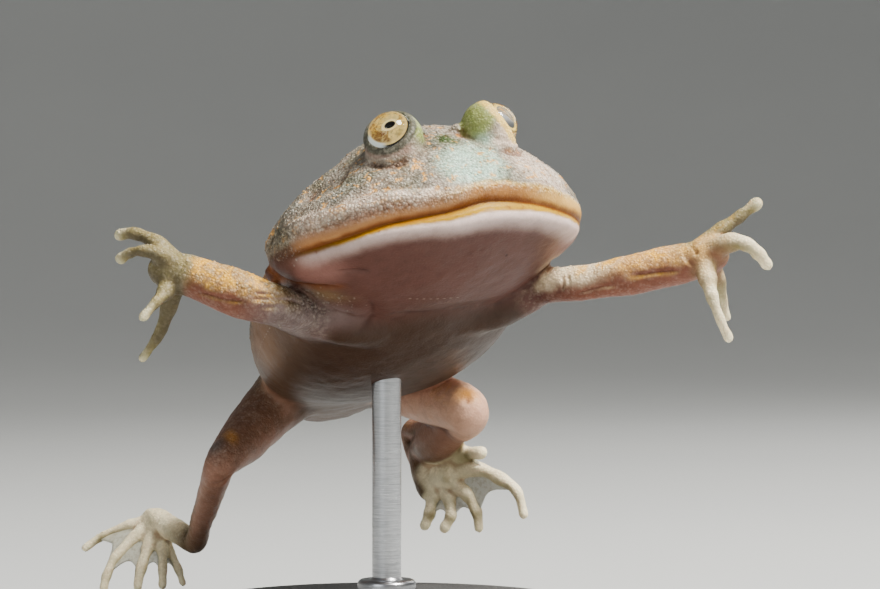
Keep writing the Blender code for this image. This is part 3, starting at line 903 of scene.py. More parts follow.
@dataclass
class EyeSockets:
    """Where the eyes sit in the head, in the head's frame, for the left side."""

    centre: Point = (8.6, -15.6, 13.7)
    radius: float = 4.2
    turns_left: tuple[float, float] = (72.0, 27.0)
    turns_right: tuple[float, float] = (40.0, 32.0)
    lid_radius: float = 4.85
    opening: float = 2.1
    mound_offset: Point = (-0.3, 0.9, -2.6)
    mound_radius: float = 4.9
    view_radius: float = 4.5
    view_flare: float = 7.0
    view_length: float = 6.0
    view_sides: int = 48
    rim_radius: float = 3.92
    rim_thickness: float = 0.27
    rim_sides: int = 72
    rim_section: int = 12
    nostril: Point = (3.2, -14.9, 14.6)
    nostril_rim: float = 0.9

    def middle(self, side: int, offset: Point = (0.0, 0.0, 0.0)) -> np.ndarray:
        """An eye's centre, moved by an offset that is mirrored with it; side is 1 for left, -1 for right."""
        return (np.array(self.centre) + np.array(offset)) * (side, 1, 1)

    def aim(self, side: int) -> Aim:
        """The opening's axis, and the directions level and up across it."""
        return aimed(side, *(self.turns_left if side > 0 else self.turns_right))

    def view(self, side: int) -> Form:
        """The space kept free in front of the opening."""
        profile = ((self.opening, self.view_radius), (self.opening + self.view_length, self.view_flare))
        return Form.lofted(rings_round(self.middle(side), self.aim(side), profile, self.view_sides))

    def rim(self, side: int) -> Form:
        """Makes the thick edge of the lids, a ring round the opening.

        Args:
            side: 1 for the left eye, -1 for the right.

        Returns:
            The ring.
        """
        around, section = self.rim_sides, self.rim_section
        turn = 2 * math.pi * np.arange(section) / section
        axis, level, up = self.aim(side)
        rings = []
        for k in range(around):
            a = 2 * math.pi * k / around
            way = level * math.cos(a) + up * math.sin(a)
            at = self.middle(side) + axis * self.opening + way * self.rim_radius
            ring = at + (way * np.cos(turn)[:, None] + axis * np.sin(turn)[:, None]) * self.rim_thickness
            rings.append(HEAD.placed(ring))
        points = np.array(rings).reshape(-1, 3)
        faces = []
        for k in range(around):
            n = (k + 1) % around
            for i in range(section):
                j = (i + 1) % section
                faces.append((k * section + i, k * section + j, n * section + j, n * section + i))
        return Form(points, faces).facing_out()


@dataclass
class Stroke:
    """A ridge or groove worked into the skin along a line.

    Depth is how far the skin rises, or sinks where it is below zero, in millimetres.
    """

    frame: Bearing
    line: Sequence[Point]
    width: float
    depth: float
    fade: float = 0.25

    def height(self, points: np.ndarray) -> np.ndarray:
        """Works out how far the stroke moves points.

        Args:
            points: Points in metres.

        Returns:
            How far each point moves, in millimetres.
        """
        line = spline(self.line, 4) if len(self.line) > 2 else np.array(self.line, float)
        local = self.frame.local(points)
        reach = 3 * self.width
        near = np.all((local > line.min(axis=0) - reach) & (local < line.max(axis=0) + reach), axis=1)
        found = np.zeros(len(points))
        if near.any():
            far, where = line_distance(local[near], line)
            ends = smooth_step(0, self.fade, where) * smooth_step(0, self.fade, 1 - where) if self.fade else 1.0
            found[near] = self.depth * bell(far, 0.0, self.width) * ends
        return found


@dataclass
class Zone:
    """A soft-edged patch of one colour, an ellipsoid in one of the frog's frames."""

    hue: Hue
    frame: Bearing
    centre: Point
    radii: Point
    strength: float = 1.0
    edge: float = 0.5

    def share(self, points: np.ndarray) -> np.ndarray:
        """How much of the colour each point takes, from 0 to 1."""
        far = np.linalg.norm((self.frame.local(points) - self.centre) / self.radii, axis=1)
        return self.strength * smooth_step(1.0, 1.0 - self.edge, far)


@dataclass
class LimbTint:
    """The colours along a limb, on its upper side and beneath, with how far along each lies.

    Start is how far along the limb its colours begin, warty and golden how much of each it has.
    """

    line: Sequence[Station]
    tints: Sequence[tuple[float, Hue, Hue]]
    start: float = 0.0
    warty: float = 0.4
    golden: float = 0.0
    golden_start: float = -0.2


@dataclass
class Surface:
    """The skin's mesh as arrays, while it is worked on."""

    points: np.ndarray
    edges: np.ndarray
    normals: np.ndarray

    @classmethod
    def of(cls, obj: Object) -> Surface:
        """Reads an object's mesh.

        Args:
            obj: The object.

        Returns:
            The arrays.
        """
        mesh = obj.data
        points = np.empty(len(mesh.vertices) * 3)
        mesh.vertices.foreach_get("co", points)
        edges = np.empty(len(mesh.edges) * 2, np.int64)
        mesh.edges.foreach_get("vertices", edges)
        normals = np.empty(len(mesh.vertices) * 3)
        mesh.vertex_normals.foreach_get("vector", normals)
        return cls(points.reshape(-1, 3), edges.reshape(-1, 2), normals.reshape(-1, 3))

    def spread(self, values: np.ndarray, times: int, weight: np.ndarray | float = 1.0) -> np.ndarray:
        """Averages values with their neighbours' again and again.

        Args:
            values: One row for each point.
            times: How many rounds of averaging.
            weight: How far each point follows its neighbours, from 0 to 1.

        Returns:
            The averaged values.
        """
        count = len(self.points)
        held = values.reshape(count, -1).copy()
        pull = np.broadcast_to(np.asarray(weight, float), (count,))
        used = (pull[self.edges] > 0).any(axis=1)
        a, b = self.edges[used].T
        most = np.maximum(np.bincount(a, minlength=count) + np.bincount(b, minlength=count), 1)
        for _ in range(times):
            for k in range(held.shape[1]):
                total = np.bincount(a, held[b, k], count) + np.bincount(b, held[a, k], count)
                held[:, k] += (total / most - held[:, k]) * pull
        return held.reshape(values.shape)

    def hollows(self, times: int = 12) -> np.ndarray:
        """How deep each point lies in a fold, in millimetres; ridges are below zero."""
        around = self.spread(self.points, times)
        return np.einsum("ij,ij->i", around - self.points, self.normals) / MM


@dataclass
class Digits:
    """A hand's or foot's palm and digits, root first: points of the jaw's frame with radii."""

    palm: Sequence[Station]
    digits: Sequence[Sequence[Station]]
    slim: Sequence[float]
    sides: int = 20
    steps: int = 8
    knuckle: float = 0.08

    def forms(self) -> list[Form]:
        """The palm and the digits, with slight swellings at their joints.

        Returns:
            The palm first, then the digits.
        """
        made = [limb_tube(self.palm, 24, self.steps)]
        for digit, slim in zip(self.digits, self.slim):
            rows = spline(digit, self.steps)
            share = np.linspace(0, len(digit) - 1, len(rows))
            rows[:, 3] *= 1 + self.knuckle * np.cos(2 * math.pi * share) * smooth_step(0.4, 1.0, share)
            rows[:, 3] *= 1 - slim * smooth_step(0.0, 0.75, share / share[-1])
            made.append(tube(np.hstack((JAW.placed(rows[:, :3]), rows[:, 3:] * MM)), self.sides))
        return made


HAND_RIGHT = Digits(
    slim=(0.2, 0.22, 0.38, 0.4), palm=((-41.2, -2.0, -6.0, 2.7), (-42.8, -1.4, -5.7, 3.2), (-44.0, -0.9, -5.5, 2.8)),
    digits=(
        ((-42.4, -1.4, -4.4, 2.0), (-45.2, -0.6, -1.2, 1.6), (-48.3, 1.4, 0.4, 1.3), (-50.3, 3.2, 0.2, 1.2)),
        (
            (-42.8, -2.2, -5.1, 2.0), (-45.4, -3.1, -3.0, 1.6), (-47.9, -2.5, -2.4, 1.3), (-49.6, -1.0, -2.8, 1.2),
            (-50.7, 0.4, -3.6, 1.2),
        ),
        ((-42.6, -1.8, -7.0, 2.0), (-44.6, -3.6, -9.2, 1.6), (-46.4, -5.2, -10.8, 1.35), (-48.6, -6.2, -13.0, 1.2)),
        ((-42.2, -0.6, -7.2, 2.1), (-42.6, 1.8, -11.5, 1.7), (-43.8, 3.8, -16.0, 1.35), (-45.9, 6.0, -19.8, 1.1)),
    ),
)
HAND_LEFT = Digits(
    slim=(0.12, 0.16, 0.36, 0.36), palm=((41.4, -17.4, -3.9, 2.8), (43.0, -18.6, -3.3, 3.3), (44.3, -19.4, -3.0, 2.8)),
    digits=(
        ((43.0, -18.0, -1.8, 2.0), (46.2, -19.1, 1.5, 1.6), (49.0, -20.0, 3.5, 1.3), (51.6, -21.0, 5.3, 1.2)),
        (
            (43.4, -19.6, -2.4, 2.1), (45.8, -23.6, -0.9, 1.6), (47.6, -25.7, -1.3, 1.35), (49.3, -26.5, -2.8, 1.25),
            (50.9, -26.2, -4.6, 1.2),
        ),
        (
            (42.8, -19.6, -4.2, 2.1), (42.2, -22.4, -7.2, 1.6), (42.3, -23.8, -10.0, 1.4), (43.4, -24.3, -13.4, 1.2),
            (45.0, -24.1, -16.5, 1.1),
        ),
        ((44.0, -18.4, -3.9, 2.0), (47.2, -15.4, -7.2, 1.5), (49.4, -12.6, -10.4, 1.2), (50.8, -11.2, -13.4, 1.05)),
    ),
)
FOOT_RIGHT = Digits(
    slim=(0.1, 0.1, 0.1, 0.1, 0.1),
    palm=((-27.7, 66.4, -52.4, 2.0), (-28.8, 68.8, -51.8, 2.6), (-29.6, 70.6, -51.5, 2.2)),
    digits=(
        ((-28.2, 68.6, -53.0, 1.5), (-27.2, 66.6, -57.4, 1.1), (-26.0, 64.6, -60.6, 0.9), (-25.4, 63.2, -63.0, 0.75)),
        ((-28.4, 68.9, -52.8, 1.6), (-28.6, 66.0, -57.0, 1.2), (-29.2, 63.4, -60.4, 1.0), (-29.6, 61.8, -63.2, 0.8)),
        ((-28.8, 69.2, -52.5, 1.7), (-31.0, 67.2, -56.5, 1.3), (-33.0, 64.8, -60.4, 1.05), (-34.0, 63.2, -63.6, 0.8)),
        (
            (-29.2, 69.6, -52.2, 1.8), (-33.0, 69.6, -54.8, 1.35), (-36.9, 68.6, -58.4, 1.1),
            (-38.9, 67.4, -61.6, 0.95), (-39.7, 66.6, -64.0, 0.8),
        ),
        ((-29.4, 70.2, -51.8, 1.7), (-33.6, 72.6, -52.9, 1.25), (-38.0, 75.2, -55.0, 1.0), (-41.0, 76.4, -57.2, 0.8)),
    ),
)
FOOT_LEFT = Digits(
    slim=(0.05, 0.05, 0.1, 0.15, 0.15),
    palm=((17.4, 46.6, -42.8, 2.2), (18.6, 42.6, -43.0, 2.8), (19.2, 40.0, -43.0, 2.3)),
    digits=(
        ((18.0, 43.4, -43.8, 1.7), (16.7, 42.6, -47.0, 1.35), (15.9, 42.2, -49.6, 1.15), (15.0, 42.4, -51.8, 0.95)),
        ((18.4, 42.4, -44.0, 1.8), (19.0, 39.8, -47.2, 1.4), (18.8, 38.8, -49.8, 1.15), (17.8, 39.2, -52.0, 0.95)),
        ((19.0, 41.0, -43.4, 1.8), (21.4, 37.4, -45.8, 1.4), (22.6, 35.8, -48.8, 1.2), (23.0, 35.4, -51.9, 0.95)),
        (
            (19.0, 41.2, -42.2, 1.9), (22.9, 36.2, -41.2, 1.6), (25.9, 31.8, -42.8, 1.4), (28.1, 29.2, -45.0, 1.2),
            (29.0, 28.2, -49.0, 0.95),
        ),
        ((18.4, 42.8, -41.0, 1.9), (20.6, 37.4, -38.6, 1.7), (22.2, 32.2, -38.0, 1.4)),
    ),
)
EXTREMITIES = (HAND_RIGHT, HAND_LEFT, FOOT_RIGHT, FOOT_LEFT)
ARM_RIGHT: Sequence[Station] = (
    (-12.0, 8.0, -13.5, 5.0), (-18.5, 4.0, -13.0, 4.2), (-23.5, -3.0, -12.0, 3.5), (-28.2, -7.2, -10.9, 3.5),
    (-33.5, -6.3, -9.2, 3.8), (-38.0, -4.0, -7.3, 3.5), (-41.5, -1.9, -5.9, 3.2),
)
ARM_LEFT: Sequence[Station] = (
    (12.0, 8.0, -10.0, 4.8), (18.0, 4.0, -8.6, 4.0), (22.5, -2.5, -7.8, 3.1), (27.4, -7.3, -7.3, 3.0),
    (32.5, -11.0, -6.3, 3.4), (37.0, -14.2, -5.0, 3.45), (41.5, -17.5, -3.9, 3.3),
)
LEG_RIGHT: Sequence[Station] = (
    (-8.0, 49.0, -26.0, 6.2), (-13.5, 46.3, -30.4, 5.4), (-20.4, 39.0, -35.4, 4.3), (-25.9, 32.4, -39.0, 2.9),
    (-26.0, 37.0, -42.6, 2.5), (-25.5, 44.5, -47.0, 2.3), (-24.9, 51.5, -51.4, 2.0), (-24.6, 57.3, -55.0, 2.0),
    (-26.0, 62.3, -53.8, 2.3), (-27.6, 66.0, -52.6, 2.3),
)
LEG_LEFT: Sequence[Station] = (
    (7.5, 50.5, -24.2, 6.2), (11.0, 44.5, -26.2, 5.4), (14.6, 33.5, -28.4, 4.8), (16.6, 24.6, -29.9, 4.2),
    (18.0, 29.5, -32.4, 3.3), (17.8, 37.5, -33.6, 3.2), (17.0, 45.5, -34.4, 2.7), (16.2, 52.4, -35.2, 2.3),
    (16.6, 50.0, -39.6, 2.4), (17.2, 47.2, -42.6, 2.5),
)
CHEST_MUSCLES: Sequence[Sequence[Station]] = (
    ((-20.0, 1.5, -12.6, 3.6), (-14.0, 1.0, -13.6, 4.2), (-8.0, 1.5, -14.3, 4.0)),
    ((20.0, 1.5, -9.4, 3.4), (14.0, 2.0, -11.3, 4.0), (8.0, 3.0, -12.9, 3.8)),
)
TORSO_STATIONS: Sequence[Station] = (
    (-6.0, 18.0, 9.0, 8.0), (2.0, 22.5, 12.0, 13.0), (12.0, 23.0, 13.0, 15.5), (24.0, 23.3, 13.0, 15.5),
    (36.0, 21.0, 12.0, 13.0), (47.0, 17.0, 10.0, 8.6), (57.0, 12.0, 8.0, 6.2), (63.5, 7.5, 5.6, 4.6),
    (66.8, 4.2, 3.4, 2.8), (68.0, 1.4, 1.2, 1.0),
)
# The head, in level outlines: height, half width, reach forward, widest point, reach back.
HEAD_STATIONS: Sequence[tuple[float, ...]] = (
    (-12.5, 11.0, 6.0, -2.0, 14.0), (-10.0, 17.0, 12.5, -1.0, 16.0), (-7.0, 22.0, 18.5, 0.0, 16.0),
    (-4.5, 25.2, 22.7, 0.0, 15.0), (-2.3, 26.6, 24.4, 0.0, 14.0), (0.0, 26.9, 24.8, 0.0, 14.0),
    (2.4, 26.8, 25.2, 0.0, 14.0), (5.0, 24.9, 24.0, 0.5, 14.0), (8.0, 21.8, 21.5, 1.0, 14.0),
    (11.0, 17.6, 18.8, 1.5, 13.0), (13.2, 13.5, 16.2, 2.5, 11.0), (15.5, 10.4, 13.2, 3.0, 7.0),
    (17.0, 5.4, 9.4, 3.0, 2.0),
)
# The line where the lips meet, in the head's frame: distance to the left and height.
MOUTH_LINE: Profile = (
    (-27.0, -1.3), (-25.4, -1.6), (-23.6, -1.85), (-21.7, -1.8), (-19.5, -1.65), (-17.3, -1.35), (-14.8, -1.1),
    (-12.1, -1.05), (-9.6, -1.0), (-5.6, -0.85), (-2.5, -0.45), (0.7, 0.05), (4.0, -0.05), (7.4, -0.45), (11.0, -0.95),
    (15.0, -1.65), (20.4, -2.35), (27.0, -2.6),
)
# Flesh beside the limbs' cores: the left calf, and the fold of skin under its heel.
CALVES: Sequence[Sequence[Station]] = (
    ((17.4, 33.0, -33.0, 3.2), (17.0, 40.5, -36.2, 4.0), (16.8, 47.5, -38.0, 3.0)),
    ((16.8, 49.0, -38.5, 2.8), (17.0, 46.5, -42.0, 3.2), (16.8, 44.0, -45.0, 2.6)),
)


STROKES: Sequence[Stroke] = (
    # The long crease under the right forearm, and the fine folds at its elbow.
    Stroke(
        JAW,
        ((-40.6, -5.4, -9.2), (-38.8, -7.2, -9.5), (-36.7, -8.7, -10.1), (-34.5, -9.8, -10.5), (-32.0, -10.4, -10.7)),
        0.42, -0.42,
    ),
    Stroke(JAW, ((-33.5, -10.2, -10.2), (-29.5, -10.8, -10.2), (-25.0, -9.3, -10.4), (-20.5, -5.0, -11.4)), 0.34, -0.3),
    Stroke(JAW, ((-32.5, -10.6, -9.4), (-29.0, -10.8, -9.3), (-25.6, -9.8, -9.5)), 0.32, -0.26),
    Stroke(JAW, ((-31.5, -10.6, -11.6), (-28.0, -10.4, -11.5), (-24.0, -8.2, -12.0)), 0.34, -0.28),
    Stroke(JAW, ((-38.0, -5.8, -5.2), (-36.0, -7.6, -5.8), (-33.5, -8.8, -6.2)), 0.5, 0.2),
    # The left forearm's two creases, and the folds at its wrist.
    Stroke(
        JAW, ((31.0, -14.2, -6.6), (33.0, -15.5, -6.2), (35.0, -16.9, -5.9), (37.2, -18.2, -5.7), (39.2, -19.8, -5.6)),
        0.42, -0.42,
    ),
    Stroke(
        JAW, ((24.0, -7.4, -9.6), (25.8, -9.1, -9.0), (27.7, -11.0, -8.3), (30.6, -13.0, -7.8), (32.5, -14.6, -7.4)),
        0.38, -0.32,
    ),
    Stroke(JAW, ((39.3, -18.6, -0.9), (38.9, -19.6, -2.4), (39.4, -20.3, -3.9), (40.6, -20.6, -5.4)), 0.4, -0.42),
    Stroke(JAW, ((40.2, -19.0, -0.6), (40.4, -20.4, -2.0), (41.0, -21.0, -3.2)), 0.34, -0.3),
    # Wrinkles round the root of the left arm.
    *(
        Stroke(
            JAW,
            (
                (17.6 + k * 0.95, -4.2 - 0.5 * k, -5.9),
                (17.9 + k * 0.95, -4.9 - 0.45 * k, -7.3),
                (18.1 + k * 0.9, -3.9 - 0.55 * k, -9.3),
            ),
            0.32,
            -0.42,
        )
        for k in range(8)
    ),
    # The rounded end of the right breast muscle.
    Stroke(
        JAW,
        ((-14.0, -9.4, -10.0), (-11.4, -8.0, -11.2), (-9.9, -4.6, -12.8), (-10.6, -2.6, -14.6), (-13.0, -2.4, -16.0)),
        0.8, -0.25,
    ),
    Stroke(JAW, ((-18.0, -4.6, -12.0), (-13.5, -5.0, -12.4)), 2.2, 0.45, 0.0),
    # The temples: fuller above the left cheek than above the right.
    Stroke(HEAD, ((10.5, -16.0, 10.0), (14.5, -11.5, 10.6), (18.0, -6.5, 9.0), (20.5, -1.0, 7.6)), 3.4, 0.3),
    Stroke(HEAD, ((16.4, -17.6, 6.3), (18.8, -18.8, 2.6), (22.5, -14.5, 2.2), (25.4, -8.0, 2.6)), 2.6, -0.9),
    Stroke(HEAD, ((-15.5, -13.0, 9.0), (-18.5, -8.5, 9.0), (-21.5, -3.0, 7.0)), 3.6, -1.4),
    Stroke(HEAD, ((-25.5, -4.0, 4.6), (-26.6, -1.0, 3.4), (-26.9, 2.5, 2.0)), 2.6, -0.9),
    Stroke(HEAD, ((-26.6, 4.5, -0.8), (-26.4, 4.2, -3.0), (-25.6, 3.4, -5.0)), 2.2, 1.3),
    # Folds beside the throat, on both sides.
    Stroke(HEAD, ((10.6, -15.9, -8.2), (13.4, -15.6, -7.4), (16.2, -14.7, -6.9), (18.9, -13.3, -6.4)), 0.4, -0.28),
    Stroke(HEAD, ((13.0, -13.6, -8.7), (16.0, -13.0, -8.0), (18.6, -11.6, -7.4)), 0.38, -0.22),
    Stroke(HEAD, ((-21.0, -10.5, -6.0), (-18.2, -12.4, -6.5), (-15.5, -13.4, -7.4)), 0.38, -0.22),
    # The throat's hind edge.
    Stroke(JAW, ((-9.0, -6.0, -12.0), (0.0, -5.0, -12.8), (9.0, -4.6, -11.9), (15.0, -4.4, -9.6)), 0.9, -0.3),
    # The dimple on the left knee, and its rim.
    Stroke(JAW, ((13.6, 22.3, -25.6), (15.4, 21.2, -27.2), (16.6, 20.8, -28.8)), 1.0, -0.55),
    Stroke(JAW, ((12.6, 22.0, -26.8), (14.2, 20.9, -28.4), (15.6, 20.4, -30.0)), 0.6, 0.3),
    # Wrinkles in the bends of the legs.
    Stroke(JAW, ((-24.0, 30.4, -40.6), (-25.8, 31.4, -42.2), (-28.0, 33.0, -42.4)), 0.45, -0.4),
    Stroke(JAW, ((15.2, 26.5, -32.8), (17.0, 25.8, -33.6), (19.4, 26.6, -33.0)), 0.45, -0.4),
)
LID_FOLDS: Sequence[tuple[Sequence[Point], float, float]] = (
    (
        (
            (13.8, -14.4, 10.8), (13.4, -16.4, 9.8), (12.2, -18.0, 9.0), (10.8, -18.9, 8.8), (9.2, -19.4, 9.1),
            (7.6, -19.4, 10.0),
        ),
        0.6, -0.6,
    ),
    (
        (
            (13.3, -15.0, 11.8), (12.4, -17.2, 10.8), (11.2, -18.8, 10.3), (9.6, -19.8, 10.4), (7.9, -19.9, 11.0),
            (6.4, -19.2, 12.2),
        ),
        0.34, -0.25,
    ),
)
JAW_CREASE: Sequence[Point] = (
    (26.8, 4.0, 1.0), (26.7, 3.2, -0.8), (26.4, 2.1, -2.3), (26.0, 0.8, -3.5), (25.3, -0.4, -4.4), (23.7, -1.7, -5.8),
    (22.3, -3.3, -6.6), (20.7, -5.2, -7.4), (19.0, -7.3, -7.9), (17.6, -9.2, -7.9),
)
JAW_SWELLING: Sequence[Point] = ((26.3, -2.4, -2.6), (24.9, -5.6, -4.4), (22.4, -8.8, -5.9))
VEINS: Sequence[Sequence[Point]] = (
    (
        (-12.8, 6.0, -19.4), (-11.2, 7.7, -20.9), (-9.6, 8.6, -21.9), (-8.8, 10.0, -22.7), (-6.8, 12.6, -23.9),
        (-5.7, 14.2, -24.9),
    ),
    ((-9.6, 8.6, -21.9), (-6.6, 9.0, -22.0), (-4.2, 11.6, -23.2)),
    ((-8.0, 1.8, -18.3), (-6.0, 3.2, -19.2), (-4.5, 5.0, -20.4), (-2.4, 6.6, -21.2), (-0.7, 9.2, -22.6)),
    ((4.0, 4.0, -19.6), (6.2, 7.0, -20.6), (7.0, 10.4, -21.8), (9.4, 13.0, -22.2)),
)
ZONES: Sequence[Zone] = (
    Zone(Hue.CHEEK, HEAD, (14.0, -18.0, 5.0), (10.0, 10.0, 8.0), 0.85, 0.7),
    Zone(Hue.HEAD_MINT, HEAD, (1.0, -22.0, 6.6), (7.6, 7.0, 6.6), 1.0, 0.5),
    Zone(Hue.HEAD_MINT, HEAD, (4.6, -19.0, 10.2), (3.6, 4.5, 4.0), 0.8, 0.6),
    Zone(Hue.CHEEK, HEAD, (-6.4, -16.0, 12.6), (2.4, 3.0, 1.6), 0.35, 0.8),
    Zone(Hue.HEAD_SLATE, HEAD, (-3.4, -17.4, 11.8), (3.2, 3.2, 2.0), 0.85, 0.9),
    Zone(Hue.HEAD_GREEN, HEAD, (0.0, -17.3, 12.2), (3.2, 3.8, 2.8), 1.0, 0.7),
    Zone(Hue.THROAT_PINK_SHADED, HEAD, (21.0, -11.0, -6.0), (7.0, 8.0, 5.0), 0.7, 0.8),
    Zone(Hue.THROAT_PINK_SHADED, HEAD, (-22.0, -8.0, -4.5), (7.0, 8.0, 4.0), 0.8, 0.7),
    Zone(Hue.FLANK_OCHRE, TORSO, (-22.0, 27.0, -3.0), (6.0, 12.0, 7.0), 0.55, 0.8),
    Zone(Hue.FLANK_OCHRE, TORSO, (22.0, 27.0, -3.0), (6.0, 12.0, 7.0), 0.4, 0.8),
    # Painted shade: the belly darker on its underside.
    Zone(Hue.BELLY_SHADED, TORSO, (0.0, 26.0, -20.0), (12.0, 20.0, 12.0), 0.6, 0.9),
)
LATE_ZONES: Sequence[Zone] = (
    Zone(Hue.ARM_MAUVE, JAW, (-17.0, -3.5, -12.8), (9.0, 5.0, 3.4), 0.75, 0.8),
    # Painted highlight on the left upper arm.
    Zone(Hue.ARM_CREAM_LIT, JAW, (24.4, -8.2, -5.4), (7.5, 7.0, 3.6), 0.95, 0.9),
    Zone(Hue.FOLD_OCHRE, HEAD, (-26.0, 1.8, -4.4), (1.8, 3.0, 1.6), 0.8, 0.7),
    Zone(Hue.ARM_OLIVE, JAW, (-17.5, -6.0, -9.4), (9.0, 5.0, 2.2), 0.7, 1.2),
    Zone(Hue.KNEE, JAW, (15.8, 21.4, -26.8), (3.8, 3.6, 2.4), 0.9, 0.9),
    Zone(Hue.KNEE, JAW, (-24.0, 33.6, -34.6), (1.8, 3.4, 3.0), 0.6, 0.9),
    Zone(Hue.KNEE_SLATE, JAW, (-27.0, 32.4, -36.4), (2.6, 3.2, 4.2), 0.75, 0.9),
)
ARM_TINTS = (
    (0.0, Hue.ARM_MAUVE, Hue.THROAT_SHADED), (0.36, Hue.ARM_MAUVE, Hue.ARM_MAUVE), (0.5, Hue.ARM_OLIVE, Hue.ARM_MAUVE),
    (0.64, Hue.ARM_GOLD, Hue.ARM_PINK_SHADED), (1.0, Hue.ARM_GOLD, Hue.ARM_PINK_SHADED),
)
LEFT_ARM_TINTS = (
    (0.0, Hue.THROAT_SHADED, Hue.THROAT_SHADED), (0.3, Hue.ARM_CREAM_LIT, Hue.THROAT_SHADED), (0.5, Hue.ARM_CREAM_LIT, Hue.ARM_PINK_SHADED),
    (0.7, Hue.ARM_GOLD_LIT, Hue.ARM_PINK_SHADED), (1.0, Hue.ARM_GOLD_LIT, Hue.ARM_PINK_SHADED),
)
RIGHT_LEG_TINTS = (
    (0.0, Hue.FLANK_SHADED, Hue.THIGH), (0.46, Hue.THIGH, Hue.THIGH), (0.6, Hue.SHIN_SHADED, Hue.THIGH), (0.8, Hue.SHIN_SHADED, Hue.SHIN_SHADED),
    (1.0, Hue.FOOT, Hue.FOOT),
)
LEFT_LEG_TINTS = (
    (0.0, Hue.THIGH, Hue.THIGH), (0.2, Hue.THIGH_LIT, Hue.THIGH_LIT), (0.5, Hue.THIGH_LIT, Hue.THIGH_LIT),
    (0.7, Hue.THIGH, Hue.THIGH), (0.85, Hue.SHIN_SHADED, Hue.THIGH), (1.0, Hue.FOOT, Hue.SHIN_SHADED),
)
FINGER_TINTS = (
    (0.0, Hue.FINGER, Hue.FINGER_SHADE), (0.7, Hue.FINGER, Hue.FINGER_SHADE), (0.9, Hue.FINGER_TIP, Hue.FINGER),
    (1.0, Hue.FINGER_TIP, Hue.FINGER_TIP),
)
PALE_FINGER_TINTS = (
    (0.0, Hue.ARM_GOLD, Hue.ARM_PINK_SHADED), (0.4, Hue.FINGER_PALE, Hue.FINGER), (1.0, Hue.FINGER_PALE, Hue.FINGER_PALE),
)
TOE_TINTS = ((0.0, Hue.FOOT, Hue.FOOT), (0.7, Hue.FOOT, Hue.FINGER), (1.0, Hue.FINGER_PALE, Hue.FINGER_PALE))
LIMB_TINTS: Sequence[LimbTint] = (
    LimbTint(ARM_RIGHT, ARM_TINTS, 0.12, 0.75, 0.85, 0.48), LimbTint(ARM_LEFT, LEFT_ARM_TINTS, 0.16, 0.6, 0.8, 0.4),
    LimbTint(LEG_RIGHT, RIGHT_LEG_TINTS, 0.06, 0.3), LimbTint(LEG_LEFT, LEFT_LEG_TINTS, 0.06, 0.2, 0.1),
    LimbTint(CALVES[0], ((0.0, Hue.THIGH, Hue.THIGH), (1.0, Hue.THIGH, Hue.SHIN_SHADED)), 0.0, 0.2),
    LimbTint(CALVES[1], ((0.0, Hue.SHIN_SHADED, Hue.THIGH), (1.0, Hue.SHIN_SHADED, Hue.SHIN_SHADED)), 0.0, 0.2),
    LimbTint(HAND_RIGHT.palm, ((0.0, Hue.FINGER, Hue.FINGER_SHADE), (1.0, Hue.FINGER, Hue.FINGER_SHADE)), 0.0, 0.6, 0.15),
    LimbTint(HAND_LEFT.palm, ((0.0, Hue.ARM_GOLD, Hue.ARM_PINK_SHADED), (1.0, Hue.ARM_GOLD, Hue.ARM_PINK_SHADED)), 0.0, 0.5, 0.3),
    *(LimbTint(foot.palm, TOE_TINTS[:2], 0.0, 0.3) for foot in (FOOT_RIGHT, FOOT_LEFT)),
    *(LimbTint(digit, FINGER_TINTS, 0.0, 0.5) for digit in HAND_RIGHT.digits),
    LimbTint(HAND_LEFT.digits[0], FINGER_TINTS, 0.0, 0.4, 0.15),
    *(LimbTint(digit, PALE_FINGER_TINTS, 0.0, 0.4, 0.15) for digit in HAND_LEFT.digits[1:]),
    *(LimbTint(digit, TOE_TINTS, 0.0, 0.3) for foot in (FOOT_RIGHT, FOOT_LEFT) for digit in foot.digits),
)
# Where large granules stand close together; the colour plays no part there.
GRANULE_ZONES: Sequence[Zone] = (
    Zone(Hue.CHEEK, HEAD, (-26.2, -5.6, 0.4), (4.0, 6.0, 3.4), 1.0, 0.5),
    Zone(Hue.CHEEK, HEAD, (-25.0, -8.0, -2.6), (2.4, 3.2, 1.2), 0.7, 0.5),
    Zone(Hue.CHEEK, HEAD, (25.6, -6.6, 0.4), (4.0, 6.0, 3.4), 1.0, 0.5),
    Zone(Hue.CHEEK, HEAD, (22.6, -13.4, -3.8), (1.8, 3.0, 1.4), 0.9, 0.5),
    Zone(Hue.CHEEK, JAW, (-17.5, -5.5, -10.6), (8.5, 5.0, 3.0), 0.5, 0.9),
)
LATERAL_ROWS: Sequence[tuple[Bearing, Sequence[Point]]] = (
    (HEAD, ((-7.5, -7.9, -11.3), (-3.5, -7.8, -11.7), (1.0, -7.6, -11.9))),
    *(
        (TORSO, ((21.5 * s, 6.0, -4.0), (23.0 * s, 20.0, -4.0), (21.5 * s, 34.0, -3.0), (16.0 * s, 48.0, -2.0)))
        for s in (1, -1)
    ),
    *(
        (TORSO, ((9.0 * s, 12.0, 14.0), (11.0 * s, 27.0, 13.0), (9.0 * s, 41.0, 10.0), (6.0 * s, 54.0, 6.5)))
        for s in (1, -1)
    ),
    *((HEAD, ((13.5 * s, -10.0, 11.0), (15.0 * s, -3.0, 11.2), (14.0 * s, 5.0, 11.0))) for s in (1, -1)),
)
HEAD_BLENDS: Sequence[tuple[Point, float]] = (
    ((18.0, 12.0, 4.0), 12.0), ((-18.0, 12.0, 4.0), 12.0), ((0.0, 10.0, 13.0), 13.0), ((0.0, 4.0, -13.0), 13.0),
)


